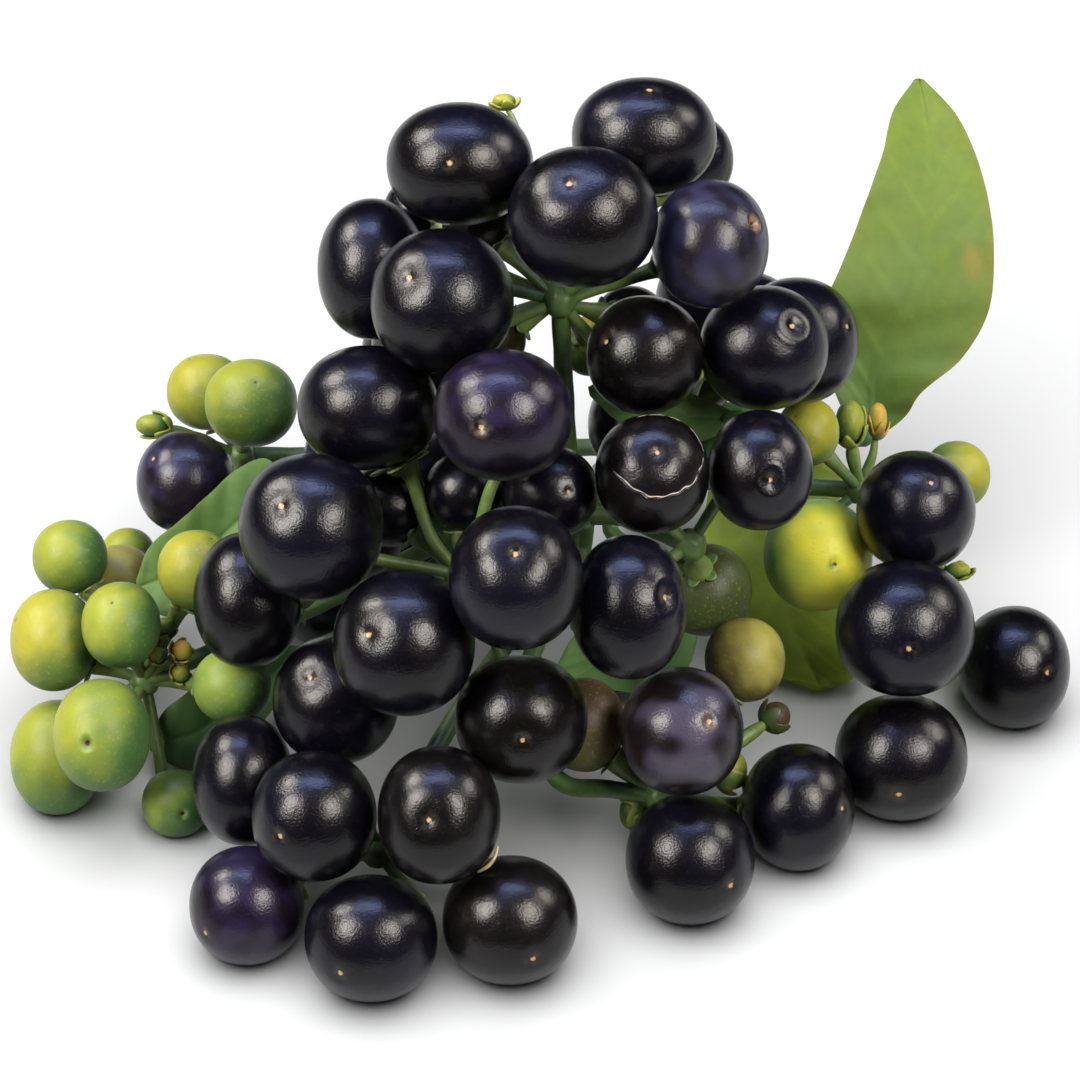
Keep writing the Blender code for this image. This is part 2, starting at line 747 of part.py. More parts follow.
def main():
    for old in list(bpy.data.objects):
        bpy.data.objects.remove(old)
    collection = bpy.data.collections.new("huckleberry_cluster")
    guides = bpy.data.collections.new("guides")
    bpy.context.scene.collection.children.link(collection)
    bpy.context.scene.collection.children.link(guides)
    paints = {
        "ripe_skin": material("ripe_skin", (0.012, 0.010, 0.022), 0.28),
        "unripe_skin": material("unripe_skin", (0.35, 0.46, 0.06), 0.35),
        "stalk": material("stalk", (0.10, 0.20, 0.05), 0.5),
        "leaf": material("leaf", (0.14, 0.27, 0.06), 0.5),
    }
    side_guide = ring_guide("side_stalk_ring", STALK_SIDES, guides)
    stem_guide = ring_guide("main_stem_ring", STEM_SIDES, guides)
    table = table_block(guides)
    berries = [berry for umbel in UMBELS for berry in umbel.berries]
    toward = settle(berries)
    balls = []
    for berry, near in zip(berries, toward):
        balls.append((np.array(seen(berry.right, berry.down, near)), half_axes(berry, near)))
    stem_points = [np.array(seen(*place)) for place in STEM_ROUTE]
    stem_points = cleared(resample(stem_points, 9), STEM_RADIUS, balls)
    stem = stalk("main_stem", stem_points, [STEM_RADIUS] * len(stem_points), stem_guide, collection)
    finish(stem, "main_stem", paints["stalk"], table)
    for point in resample(stem_points, 25):
        balls.append((point, np.full(3, STEM_RADIUS)))
    tools = (collection, side_guide, table, paints)
    first = 0
    for umbel in UMBELS:
        build_umbel(umbel, toward, balls, first, stem_points, tools)
        first += len(umbel.berries)
    for leaf in LEAVES:
        build_leaf(leaf, balls, stem_points, tools)


main()
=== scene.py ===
# %% [markdown]
# # A bunch of garden huckleberries
# The bunch lies on a pale table: umbels of round, nearly black berries, some still green, on short green
# stalks, with six leaves and a cut stem behind. The solid model gives the size and the place of every node.
# This script dresses each node with a finer surface, worked out with numpy from the same named places.

import json
import math
from collections import namedtuple

import bpy
import numpy as np
from mathutils import Matrix, Vector

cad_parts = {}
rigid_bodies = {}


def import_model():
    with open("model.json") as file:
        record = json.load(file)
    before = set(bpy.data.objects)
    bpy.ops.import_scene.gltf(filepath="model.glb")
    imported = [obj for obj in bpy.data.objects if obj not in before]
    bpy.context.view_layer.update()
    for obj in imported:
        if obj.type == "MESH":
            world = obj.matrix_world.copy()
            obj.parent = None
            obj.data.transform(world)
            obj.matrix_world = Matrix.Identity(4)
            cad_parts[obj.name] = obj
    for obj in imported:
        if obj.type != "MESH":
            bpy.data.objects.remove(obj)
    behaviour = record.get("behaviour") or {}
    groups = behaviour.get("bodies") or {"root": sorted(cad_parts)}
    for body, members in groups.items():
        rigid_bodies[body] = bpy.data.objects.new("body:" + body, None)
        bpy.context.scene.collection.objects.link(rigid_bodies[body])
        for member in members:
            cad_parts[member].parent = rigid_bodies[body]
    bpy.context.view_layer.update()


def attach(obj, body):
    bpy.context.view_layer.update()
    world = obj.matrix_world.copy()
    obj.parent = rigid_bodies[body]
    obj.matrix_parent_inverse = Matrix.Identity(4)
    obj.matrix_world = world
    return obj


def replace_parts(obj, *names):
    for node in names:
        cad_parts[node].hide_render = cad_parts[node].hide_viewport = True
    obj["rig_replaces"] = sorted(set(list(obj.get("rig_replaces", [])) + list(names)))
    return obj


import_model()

# %% [markdown]
# ## The eye and the picture
# Each berry's place was read off a picture, so the camera comes first: one point and one scale turn a pixel
# of the 1080 x 1080 frame into a place in the bunch. A perspective camera 450 mm away looks down at 40
# degrees. Its frame spans 118.7 mm at the pivot, which fixes the lens: distance over width, times the
# sensor's 36 mm.

# %% Driving sizes, in metres
FRAME_WIDTH = 0.1187
EYE_DISTANCE = 0.450
LOOK_DOWN = math.radians(40.0)
PIVOT = np.array([-0.0007, -0.0224, 0.0405])
BERRY_GAP = 0.00035
CLEARANCE = 0.0009
FLAT_DEPTH = 0.0004
PEDICEL_RADIUS = 0.0008
CALYX_RADIUS = 0.0027
PEDUNCLE_RADIUS = 0.0012
HUB_RADIUS = 0.0019
STEM_RADIUS = 0.0024
STALK_GAP = 0.0009
PETIOLE_RADIUS = 0.0010
BLADE_THICKNESS = 0.0008
BLADE_FOLD = 0.0012
BLADE_WAVE = 0.0006
ROUTE_STEP = 0.006
SETTLE_ROUNDS = 120
NEAR = 1.3
CLEAR_ROUNDS = 40
BERRY_SWELL = 1.02
SKIN_SWELL = 1.008
SENSOR_WIDTH = 36.0
FORK_REACH = 0.005
FORK_STEPS = 100
SMOOTHING = 0.25
TABLE_ROOM = 1.1
LEAST_TOWARD = 0.05

# %% Camera
FRAME_PIXELS = 1080.0
MIDDLE = FRAME_PIXELS / 2
FOCAL_PIXELS = FRAME_PIXELS * EYE_DISTANCE / FRAME_WIDTH
ACROSS = np.array([1.0, 0.0, 0.0])
UP = np.array([0.0, math.sin(LOOK_DOWN), math.cos(LOOK_DOWN)])
TOWARD = np.array([0.0, -math.cos(LOOK_DOWN), math.sin(LOOK_DOWN)])
PICTURE = np.array([ACROSS, UP, TOWARD])


def metres_per_pixel(toward):
    """The real size of one pixel at a depth."""
    return (EYE_DISTANCE - toward) / FOCAL_PIXELS


def seen(right, down, toward):
    """The place of a pixel that lies so far toward the eye from the pivot."""
    scale = metres_per_pixel(toward)
    return PIVOT + ACROSS * (right - MIDDLE) * scale + UP * (MIDDLE - down) * scale + TOWARD * toward


camera_data = bpy.data.cameras.new("camera")
camera_data.sensor_width = SENSOR_WIDTH
camera_data.lens = SENSOR_WIDTH * EYE_DISTANCE / FRAME_WIDTH
camera = bpy.data.objects.new("camera", camera_data)
bpy.context.scene.collection.objects.link(camera)
turn = Matrix(PICTURE.T.tolist()).to_4x4()
camera.matrix_world = Matrix.Translation(Vector(PIVOT + TOWARD * EYE_DISTANCE)) @ turn
bpy.context.scene.camera = camera
print("lens, mm:", round(camera_data.lens, 1))

# %% [markdown]
# ## Where the berries are
# Every berry is an egg-like ball. A row gives its middle and its half sizes in pixels, how far it lies
# toward the eye, and the pixel of its scar, the dot where the flower was. The stalk joins at the other end.
# A berry on the table has its depth worked out from its size. An unseen one is put behind the others, where
# the bunch has to go on. "skin" names its colour and "form" its small shape at the scar.

# %% The berries and side stalks of each umbel
FLOOR = None
HIDDEN = None
UNSEEN = "unseen"
SMALL = 25
MIDDLING = 45
Berry = namedtuple("Berry", "right down wide tall toward scar skin form", defaults=("black", "dot"))
Umbel = namedtuple("Umbel", "name hub fork route berries")
Fork = namedtuple("Fork", "along leaving")
LEFT = np.array([-1.0, 0.0, 0.0])
RIGHT = np.array([1.0, 0.0, 0.0])
ABOVE = np.array([0.0, 0.0, 1.0])
BELOW = np.array([0.0, 0.0, -1.0])

STEM_ROUTE = [
    (557, 520, -0.022),
    (580, 497, -0.034),
    (606, 472, -0.046),
    (638, 452, -0.060),
    (662, 440, -0.0755),
]


def umbel_of(name, hub, fork, route, rows):
    """An umbel from its hub, its fork at the stem, its side stalk's route and a plain row for each berry."""
    return Umbel(name, hub, fork, route, [Berry(*row) for row in rows])


UMBELS = [
    umbel_of(
        "umbel_top", (560, 302, -0.007), Fork(0.02, ABOVE),
        [(562, 345, -0.007), (566, 404, -0.009), (566, 455, -0.014)],
        [
            (460, 164, 73, 61, 0.000, (451, 169), "black", "faint"),
            (644, 137, 72, 59, -0.004, (648, 96), "black", "faint"), (688, 160, 45, 46, -0.016, HIDDEN),
            (583, 217, 75, 70, 0.006, (568, 188), "black", "crater"),
            (710, 244, 58, 64, 0.000, (752, 227), "purple", "hole"),
            (372, 269, 54, 70, -0.011, HIDDEN, "black", "faint"),
            (442, 301, 71, 72, 0.001, (410, 281), "black", "crater"),
            (645, 355, 58, 59, -0.003, (606, 344), "soot"), (478, 222, 36, 36, -0.009, UNSEEN, "olive"),
            (630, 322, 36, 36, -0.014, UNSEEN), (488, 338, 38, 38, -0.010, UNSEEN, "olive"),
            (430, 340, 58, 58, -0.022, UNSEEN), (416, 211, 32, 32, -0.018, UNSEEN),
            (504, 101, 13, 8, -0.004, HIDDEN, "yellow"), (590, 346, 27, 30, -0.025, HIDDEN, "yellow"),
        ],
    ),
    umbel_of(
        "umbel_middle", (462, 575, -0.010), Fork(0.04, LEFT),
        [(490, 560, -0.016)],
        [
            (368, 408, 70, 62, -0.004, HIDDEN), (503, 415, 69, 66, 0.007, (482, 429), "plum", "star"),
            (550, 492, 48, 46, -0.005, (568, 492)),
            (311, 527, 72, 73, 0.002, (284, 506), "black", "crater"), (248, 600, 54, 68, -0.009, HIDDEN),
            (516, 578, 67, 72, 0.007, (516, 553), "black", "crater"),
            (404, 643, 71, 73, 0.003, (370, 633), "black", "crater"),
            (336, 700, 63, 64, -0.007, (312, 675), "black", "crater"),
            (521, 719, 66, 64, -0.001, (523, 738), "soot", "crater"), (465, 492, 40, 40, -0.008, UNSEEN),
            (388, 505, 42, 42, -0.010, UNSEEN),
        ],
    ),
    umbel_of(
        "umbel_inner_right", (690, 545, -0.014), Fork(0.06, RIGHT),
        [(650, 540, -0.020)],
        [
            (652, 474, 57, 60, -0.002, (656, 453), "soot", "seam"),
            (760, 470, 52, 60, -0.004, (768, 481), "black", "ring"),
            (629, 607, 58, 72, 0.000, (665, 596), "black", "ring"),
            # This unseen berry is painted as dark as the shade round it: painted shade
            (706, 590, 46, 46, -0.020, UNSEEN, "painted_shade_green"),
        ],
    ),
    umbel_of(
        "umbel_front", (378, 852, -0.010), Fork(0.14, BELOW),
        [(382, 795, -0.010), (402, 742, -0.014), (436, 672, -0.019)],
        [
            (243, 780, 50, 65, -0.010, HIDDEN), (314, 816, 62, 65, 0.000, (284, 832)),
            (439, 815, 61, 69, 0.003, (430, 816), "soot", "crater"),
            (247, 905, 57, 59, FLOOR, (209, 929), "plum"), (371, 938, 66, 63, FLOOR, (343, 967)),
            (510, 920, 67, 64, FLOOR, (533, 953), "soot"),
        ],
    ),
    umbel_of(
        "umbel_right", (660, 797, -0.013), Fork(0.28, BELOW),
        [(622, 786, -0.013), (526, 784, -0.013), (500, 730, -0.018), (530, 640, -0.024)],
        [
            (690, 859, 64, 65, FLOOR, (728, 881)),
            (682, 731, 61, 64, -0.008, (707, 719), "bloomed", "star"),
            (798, 807, 56, 63, FLOOR, (839, 806)), (745, 660, 40, 42, -0.018, HIDDEN, "turning"),
            (585, 725, 40, 47, -0.013, HIDDEN, "brown"), (632, 812, 14, 20, -0.014, HIDDEN, "green"),
            (731, 770, 18, 22, -0.017, HIDDEN, "green"), (776, 716, 16, 16, -0.020, HIDDEN, "brown"),
        ],
    ),
    umbel_of(
        "umbel_far_right", (950, 625, -0.038), Fork(0.74, RIGHT),
        [(885, 622, -0.045), (790, 590, -0.052)],
        [
            (901, 757, 66, 63, FLOOR, (894, 791)), (905, 628, 69, 68, -0.019, (903, 647)),
            (1014, 667, 55, 61, FLOOR, (1041, 671)), (916, 511, 59, 60, -0.025, (926, 484)),
            (958, 570, 14, 9, -0.030, HIDDEN, "green"),
        ],
    ),
    umbel_of(
        "umbel_green_left", (145, 680, -0.027), Fork(0.26, LEFT),
        [(250, 655, -0.029), (380, 600, -0.032)],
        [
            (70, 557, 37, 37, -0.026, HIDDEN, "green"), (54, 640, 43, 51, -0.024, HIDDEN, "yellow"),
            (121, 625, 39, 43, -0.018, HIDDEN, "green"), (120, 580, 35, 35, -0.032, HIDDEN, "turning"),
            (128, 555, 27, 27, -0.039, HIDDEN, "green"), (197, 570, 39, 40, -0.017, HIDDEN, "yellow"),
            (102, 735, 48, 56, -0.015, (92, 741), "green", "hole"),
            (57, 757, 46, 57, FLOOR, HIDDEN, "green"),
            (176, 803, 34, 34, FLOOR, (186, 812), "deep_green", "hole"),
            (232, 686, 39, 37, -0.017, HIDDEN, "deep_green"), (165, 627, 11, 11, -0.020, HIDDEN, "green"),
            (158, 655, 9, 9, -0.020, HIDDEN, "yellow"), (182, 650, 11, 11, -0.020, HIDDEN, "bud"),
            (181, 673, 10, 10, -0.020, HIDDEN, "yellow"),
        ],
    ),
    umbel_of(
        "umbel_upper_left", (240, 455, -0.050), Fork(0.86, LEFT),
        [(275, 478, -0.056), (340, 478, -0.062), (460, 445, -0.066), (560, 445, -0.064)],
        [
            (186, 482, 49, 51, -0.034, (157, 460), "purple"), (207, 392, 40, 38, -0.046, HIDDEN, "yellow"),
            (251, 403, 46, 44, -0.038, HIDDEN, "green"), (152, 425, 18, 12, -0.042, HIDDEN, "green"),
        ],
    ),
    umbel_of(
        "umbel_green_right", (860, 490, -0.042), Fork(0.50, RIGHT),
        [(800, 480, -0.0435), (730, 480, -0.045)],
        [
            (818, 555, 54, 56, -0.030, (831, 564), "lime", "star"),
            (808, 432, 31, 34, -0.030, HIDDEN, "yellow"), (957, 475, 33, 34, -0.035, HIDDEN, "yellow"),
            (850, 422, 16, 24, -0.036, HIDDEN, "green"), (878, 419, 10, 18, -0.040, HIDDEN, "bud"),
        ],
    ),
    umbel_of(
        "umbel_back_right", (712, 365, -0.030), Fork(0.44, ABOVE),
        [(675, 400, -0.040)],
        [
            (764, 348, 64, 62, -0.007, (790, 328), "black", "ring"), (797, 341, 61, 63, -0.021, HIDDEN),
            (704, 300, 48, 48, -0.026, UNSEEN), (642, 425, 54, 54, -0.028, UNSEEN),
            (745, 330, 58, 58, -0.038, UNSEEN), (690, 355, 58, 58, -0.050, UNSEEN),
        ],
    ),
    umbel_of(
        "umbel_back_left", (450, 440, -0.040), Fork(0.50, LEFT),
        [(510, 460, -0.042)],
        [
            (455, 455, 56, 56, -0.024, UNSEEN), (350, 525, 56, 56, -0.024, UNSEEN),
            (414, 352, 52, 52, -0.040, UNSEEN), (362, 460, 58, 58, -0.036, UNSEEN, "plum"),
            (333, 590, 58, 58, FLOOR, UNSEEN), (442, 530, 58, 58, FLOOR, UNSEEN),
        ],
    ),
]
BERRIES = [berry for umbel in UMBELS for berry in umbel.berries]
print("umbels:", len(UMBELS), "berries and buds:", len(BERRIES))

# %% [markdown]
# ## Settling the depths
# A picture doesn't say how deep a berry lies. Each pair of berries is slid apart along the line of sight
# until a hair's gap is left between them, so none cuts another and all stay where the picture shows them.
# The berries could be dropped by a physics simulation instead, but then they would leave their places in
# the picture.

# %% Depths and half sizes


def resting_toward(berry):
    """How far toward the eye a berry lies when its lowest point is FLAT_DEPTH under the table's surface."""
    deep = (berry.wide + berry.tall) / 2
    half = math.hypot(berry.tall * math.cos(LOOK_DOWN), deep * math.sin(LOOK_DOWN))
    reach = PIVOT[2] + EYE_DISTANCE * math.sin(LOOK_DOWN) + FLAT_DEPTH
    span = FOCAL_PIXELS * math.sin(LOOK_DOWN) + half - math.cos(LOOK_DOWN) * (MIDDLE - berry.down)
    return EYE_DISTANCE - FOCAL_PIXELS * reach / span


def half_axes(berry, toward):
    """A berry's half sizes across, up and toward the eye."""
    sizes = (berry.wide, berry.tall, (berry.wide + berry.tall) / 2)
    return np.array(sizes) * metres_per_pixel(toward) * BERRY_SWELL


def picture_place(berry, toward):
    """A berry's centre measured across, up and toward the eye from the pivot."""
    scale = metres_per_pixel(toward)
    return np.array([(berry.right - MIDDLE) * scale, (MIDDLE - berry.down) * scale, toward])


def slide_needed(first, second, first_toward, second_toward):
    """How much farther apart along the line of sight two berries have to be, to leave the gap."""
    between = picture_place(first, first_toward) - picture_place(second, second_toward)
    direction = between / np.linalg.norm(between)
    reach = np.linalg.norm(half_axes(first, first_toward) * direction)
    reach += np.linalg.norm(half_axes(second, second_toward) * direction) + BERRY_GAP
    aside = math.hypot(between[0], between[1])
    if aside >= reach:
        return 0.0
    return max(0.0, math.sqrt(reach * reach - aside * aside) - abs(between[2]))


def near_pairs(berries, toward):
    """The pairs, front one first, that are near enough in the picture to touch."""
    reach = [max(berry.wide, berry.tall) * BERRY_SWELL * NEAR for berry in berries]
    pairs = []
    for i, first in enumerate(berries):
        for j in range(i + 1, len(berries)):
            second = berries[j]
            if math.hypot(first.right - second.right, first.down - second.down) < reach[i] + reach[j]:
                pairs.append((i, j) if toward[i] >= toward[j] else (j, i))
    return pairs


def settle(berries):
    """Slides the berries along the line of sight until none touch, keeping which one lies in front."""
    resting = [resting_toward(berry) for berry in berries]
    free = [berry.toward is not FLOOR for berry in berries]
    yielding = [berry.scar is UNSEEN or berry.wide < SMALL for berry in berries]
    toward = [berry.toward if free[i] else resting[i] for i, berry in enumerate(berries)]
    pairs = near_pairs(berries, toward)
    for _ in range(SETTLE_ROUNDS):
        for front, behind in pairs:
            slide = slide_needed(berries[front], berries[behind], toward[front], toward[behind])
            if slide == 0.0:
                continue
            share = 0.5 if free[behind] else 1.0
            if yielding[front] != yielding[behind]:
                share = 1.0 if yielding[front] else 0.0
            if not free[front]:
                share = 0.0
            toward[front] += slide * share
            if free[behind]:
                toward[behind] = max(toward[behind] - slide * (1.0 - share), resting[behind])
    return toward


DEPTHS = settle(BERRIES)
BALLS = [(seen(b.right, b.down, near), half_axes(b, near)) for b, near in zip(BERRIES, DEPTHS)]
print("nearest and farthest berry, mm:", round(max(DEPTHS) * 1000, 1), round(min(DEPTHS) * 1000, 1))

# %% [markdown]
# ## How the stalks run
# A real stalk grows round the berries in its way. Here each stalk is a chain of points that is smoothed and
# pushed out of every berry's ball, time after time, as a relaxed thread would lie. Side stalks meet the
# main stem squarely.

# %% Stalk rules


def resample(points, count=None):
    """Evenly spaced points along a chain of straight steps."""
    points = np.array(points, dtype=float)
    steps = np.linalg.norm(np.diff(points, axis=0), axis=1)
    along = np.concatenate([[0.0], np.cumsum(steps)])
    count = count or max(3, 1 + round(along[-1] / ROUTE_STEP))
    wanted = np.linspace(0.0, along[-1], count)
    return np.stack([np.interp(wanted, along, points[:, axis]) for axis in range(3)], axis=1)


def cleared(points, radius, balls, rounds=CLEAR_ROUNDS):
    """Bends a stalk's inner points clear of the berries and the table, and smooths it."""
    points = np.array(points, dtype=float)
    for _ in range(rounds):
        points[1:-1] += SMOOTHING * (points[:-2] + points[2:] - 2.0 * points[1:-1])
        for centre, axes in balls:
            room = axes + radius + CLEARANCE
            offset = (points[1:-1] - centre) @ PICTURE.T / room
            depth = np.linalg.norm(offset, axis=1)
            inside = depth < 1.0
            pushed = offset[inside] / depth[inside, None] * room
            points[1:-1][inside] = centre + pushed @ PICTURE
        points[1:-1, 2] = np.maximum(points[1:-1, 2], radius * TABLE_ROOM)
    return points


def fork_points(fork, stem_points):
    """The last two points of a side stalk that meets the main stem squarely, a share of the way along it."""
    fine = resample(stem_points, FORK_STEPS + 1)
    number = round(fork.along * FORK_STEPS)
    axis = fine[number]
    tangent = fine[min(number + 1, FORK_STEPS)] - fine[max(number - 1, 0)]
    tangent /= np.linalg.norm(tangent)
    leaving = fork.leaving - tangent * np.dot(tangent, fork.leaving)
    leaving /= np.linalg.norm(leaving)
    return [axis + leaving * (STEM_RADIUS + FORK_REACH), axis + leaving * (STEM_RADIUS + STALK_GAP)]


def scar_direction(berry, toward, hub):
    """The unit direction of a berry's scar in its own round shape, across, up and toward the eye."""
    if berry.scar not in (HIDDEN, UNSEEN):
        across = (berry.scar[0] - berry.right) / berry.wide
        up = (berry.down - berry.scar[1]) / berry.tall
        return np.array([across, up, math.sqrt(max(LEAST_TOWARD, 1.0 - across * across - up * up))])
    away = picture_place(berry, toward) - hub
    return away / np.linalg.norm(away)


STEM_POINTS = cleared(resample([seen(*place) for place in STEM_ROUTE], 9), STEM_RADIUS, BALLS)
BALLS += [(point, np.full(3, STEM_RADIUS)) for point in resample(STEM_POINTS, 25)]
print("main stem, mm:", round(np.linalg.norm(np.diff(STEM_POINTS, axis=0), axis=1).sum() * 1000, 1))

# %% [markdown]
# ## One surface builder
# Berries, calyxes, stalks and leaves are all the same thing to numpy: a grid of rows that closes round,
# with a point at each end. A function of two parameters gives the places, so no modifier or sculpting is
# needed, and the seam and both ends are closed by construction. Each corner also carries its colour. On a
# berry it carries a mark too, a small map of the skin that the shader draws crisp scars on.

# %% Surface builder
Part = namedtuple("Part", "corners rows around paint mark")


def faces_of(rows, around, first):
    """Corner numbers: quads between the rows, and a fan of triangles to the point at each end."""
    row, step = np.meshgrid(np.arange(rows - 1), np.arange(around), indexing="ij")
    here = first + 1 + row * around + step
    beside = first + 1 + row * around + (step + 1) % around
    quads = np.stack([here, here + around, beside + around, beside], axis=-1).reshape(-1, 4)
    ring = np.arange(around)
    turned = (ring + 1) % around
    last = first + 1 + (rows - 1) * around
    start = np.stack([np.full(around, first), first + 1 + ring, first + 1 + turned], axis=-1)
    end = np.stack([np.full(around, last + around), last + turned, last + ring], axis=-1)
    return quads, np.concatenate([start, end])


def with_ends(rows):
    """A value for each corner of the grid, with the first and the last once more for the two end points."""
    return np.concatenate([rows[:1], rows, rows[-1:]])


def closed_part(start, grid, end, paint):
    """A Part without a mark, from a start point, rows of a grid, an end point and every corner's paint."""
    rows, around = grid.shape[:2]
    corners = np.concatenate([[start], grid.reshape(-1, 3), [end]])
    return Part(corners, rows, around, np.broadcast_to(paint, corners.shape), np.zeros_like(corners))


def build(name, parts, material, node):
    """One object of many closed parts, which stands for a node of the solid model."""
    corners = np.concatenate([part.corners for part in parts])
    firsts = np.cumsum([0] + [len(part.corners) for part in parts])
    faces = [faces_of(part.rows, part.around, first) for part, first in zip(parts, firsts)]
    quads = np.concatenate([pair[0] for pair in faces])
    fans = np.concatenate([pair[1] for pair in faces])
    mesh = bpy.data.meshes.new(name)
    mesh.vertices.add(len(corners))
    mesh.vertices.foreach_set("co", corners.astype(np.float32).ravel())
    mesh.loops.add(quads.size + fans.size)
    mesh.loops.foreach_set("vertex_index", np.concatenate([quads.ravel(), fans.ravel()]).astype(np.int32))
    mesh.polygons.add(len(quads) + len(fans))
    starts = np.concatenate([np.arange(len(quads)) * 4, quads.size + np.arange(len(fans)) * 3])
    mesh.polygons.foreach_set("loop_start", starts.astype(np.int32))
    mesh.update(calc_edges=True)
    mesh.validate()
    paint = np.concatenate([part.paint for part in parts])
    skin = mesh.attributes.new("skin", "FLOAT_COLOR", "POINT")
    skin.data.foreach_set("color", np.column_stack([paint, np.ones(len(paint))]).astype(np.float32).ravel())
    marks = mesh.attributes.new("mark", "FLOAT_VECTOR", "POINT")
    marks.data.foreach_set("vector", np.concatenate([part.mark for part in parts]).astype(np.float32).ravel())
    mesh.shade_smooth()
    mesh.materials.append(material)
    made = bpy.data.objects.new(name, mesh)
    bpy.context.scene.collection.objects.link(made)
    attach(made, "root")
    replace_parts(made, node)
    triangles.append(2 * len(quads) + len(fans))
    print(name, "triangles:", triangles[-1])
    return made


triangles = []

# %% [markdown]
# ## Colours
# Ripe skin is almost black with a blue or purple cast, unripe skin is painted yellow-green on its lit side
# and a deeper green on its shaded side, a painted light and shade, and half-ripe berries turn brown. The
# numbers are linear red, green and blue. Each berry blends two colours in soft patches, so no two look the
# same; on the green and half-ripe berries the blend also follows the painted light.

# %% Palette
# Two colours for each skin: ripe ones mix them in random patches; on the others the first is painted on the
# lit side and the second on the shaded side, a painted light and shade
SKINS = {
    "black": ((0.0012, 0.0010, 0.0013), (0.0023, 0.0021, 0.0054)),
    "plum": ((0.0040, 0.0026, 0.0058), (0.0105, 0.0072, 0.0220)),
    "purple": ((0.0075, 0.0058, 0.0085), (0.0180, 0.0165, 0.0380)),
    "bloomed": ((0.0060, 0.0042, 0.0050), (0.0380, 0.0340, 0.0520)),
    "olive": ((0.0080, 0.0070, 0.0025), (0.0150, 0.0130, 0.0040)),
    "yellow": ((0.260, 0.250, 0.022), (0.070, 0.125, 0.026)),
    "lime": ((0.600, 0.570, 0.045), (0.120, 0.250, 0.050)),
    # A dark green painted as dark as the shade a berry lies in: painted shade
    "painted_shade_green": ((0.030, 0.040, 0.013), (0.048, 0.070, 0.020)),
    "green": ((0.210, 0.235, 0.022), (0.046, 0.105, 0.026)),
    "deep_green": ((0.180, 0.240, 0.035), (0.030, 0.090, 0.026)),
    "turning": ((0.27, 0.25, 0.050), (0.055, 0.040, 0.018)),
    "soot": ((0.0012, 0.0010, 0.0010), (0.0036, 0.0029, 0.0030)),
    "brown": ((0.060, 0.035, 0.022), (0.070, 0.075, 0.020)),
    "bud": ((0.40, 0.22, 0.025), (0.28, 0.30, 0.035)),
}
DARK_SKINS = ("black", "soot", "plum", "purple", "bloomed", "olive")
MOTTLED_SKINS = ("plum", "purple", "bloomed")
STALK_GREEN = np.array([0.070, 0.130, 0.034])
STALK_TIP = np.array([0.150, 0.200, 0.045])
STEM_GREEN = np.array([0.045, 0.095, 0.022])
print("skin colours:", len(SKINS))

# %% [markdown]
# ## A berry's skin
# A ripe berry isn't a perfect ball. It is a little boxy, has soft lumps, dips where the stalk joins and has
# a scar at the other end: a dry dot in a dimple, sometimes with a raised ring round it. The surface is a
# function of the angle from the scar and the angle round it. It gives a radius for each direction, so the
# dimple, the ring and the lumps are sums of smooth bumps on it.

# %% Berry surface
FINE = (46, 60)
MEDIUM = (26, 36)
COARSE = (14, 20)
BOXINESS = 2.12
LUMP_SIZE = 0.010
PIT_WIDTH = 0.085
BASE_DIP, BASE_WIDTH = 0.035, 0.30
CROWDING = 1.25
BUD_SIZE = 0.90
# Painted light: green and half-ripe berries are painted lighter on this side and darker away from it
PAINTED_LIGHT_SIDE = np.array([-0.62, 0.50, 0.60])
# The split in one ripe skin: the axis that it runs round, its angle from it and its width
SEAM_AXIS = np.array([0.091, 0.466, 0.880])
SEAM_ANGLE = 0.914
SEAM_WIDTH = 0.011
SEAM_BAND = 0.11
SEAM_ROWS = (70, 70)
SEAM_AROUND = 280
# The lip's colour is dry skin painted as bright as a glint: partly a painted highlight
SEAM_LIP_AND_GLINT = np.array([0.56, 0.48, 0.38])
SEAM_GROOVE = np.array([0.014, 0.008, 0.006])
LIP_HEIGHT, GROOVE_DEPTH, STEP_DOWN = 0.006, 0.016, 0.004
# Depth and width of the dimple, then height, angle and width of the ring round it, as shares of the radius
FORMS = {
    "dot": (0.016, 0.10, 0.003, 0.26, 0.10),
    "faint": (0.008, 0.12, 0.000, 0.30, 0.10),
    "crater": (0.046, 0.27, 0.002, 0.50, 0.13),
    "ring": (0.055, 0.16, 0.016, 0.28, 0.06),
    "hole": (0.075, 0.10, 0.018, 0.17, 0.05),
    "star": (0.026, 0.08, 0.004, 0.20, 0.08),
    "seam": (0.044, 0.26, 0.004, 0.50, 0.12),
    "cap": (0.000, 0.10, 0.000, 0.30, 0.10),
}


def squared_to(direction):
    """Two unit vectors that make a right-handed frame with a direction."""
    helper = np.array([0.0, 1.0, 0.0]) if abs(direction[1]) < 0.9 else np.array([1.0, 0.0, 0.0])
    first = np.cross(helper, direction)
    first /= np.linalg.norm(first)
    return first, np.cross(direction, first)


def directions_round(axis, polar, turn):
    """Unit directions at each angle from an axis (rows) and each turn round it (columns)."""
    first, second = squared_to(axis)
    side = np.cos(turn)[:, None] * first + np.sin(turn)[:, None] * second
    return np.cos(polar)[:, None, None] * axis + np.sin(polar)[:, None, None] * side


def soft_patches(directions, dice, waves=5, fineness=2.6):
    """A smooth random value from -1 to 1 for each direction: the mean of a few sine waves across the ball."""
    runs = dice.normal(size=(waves, 3)) * fineness
    return np.sin(directions @ runs.T + dice.uniform(0.0, 2.0 * math.pi, waves)).sum(axis=-1) / waves


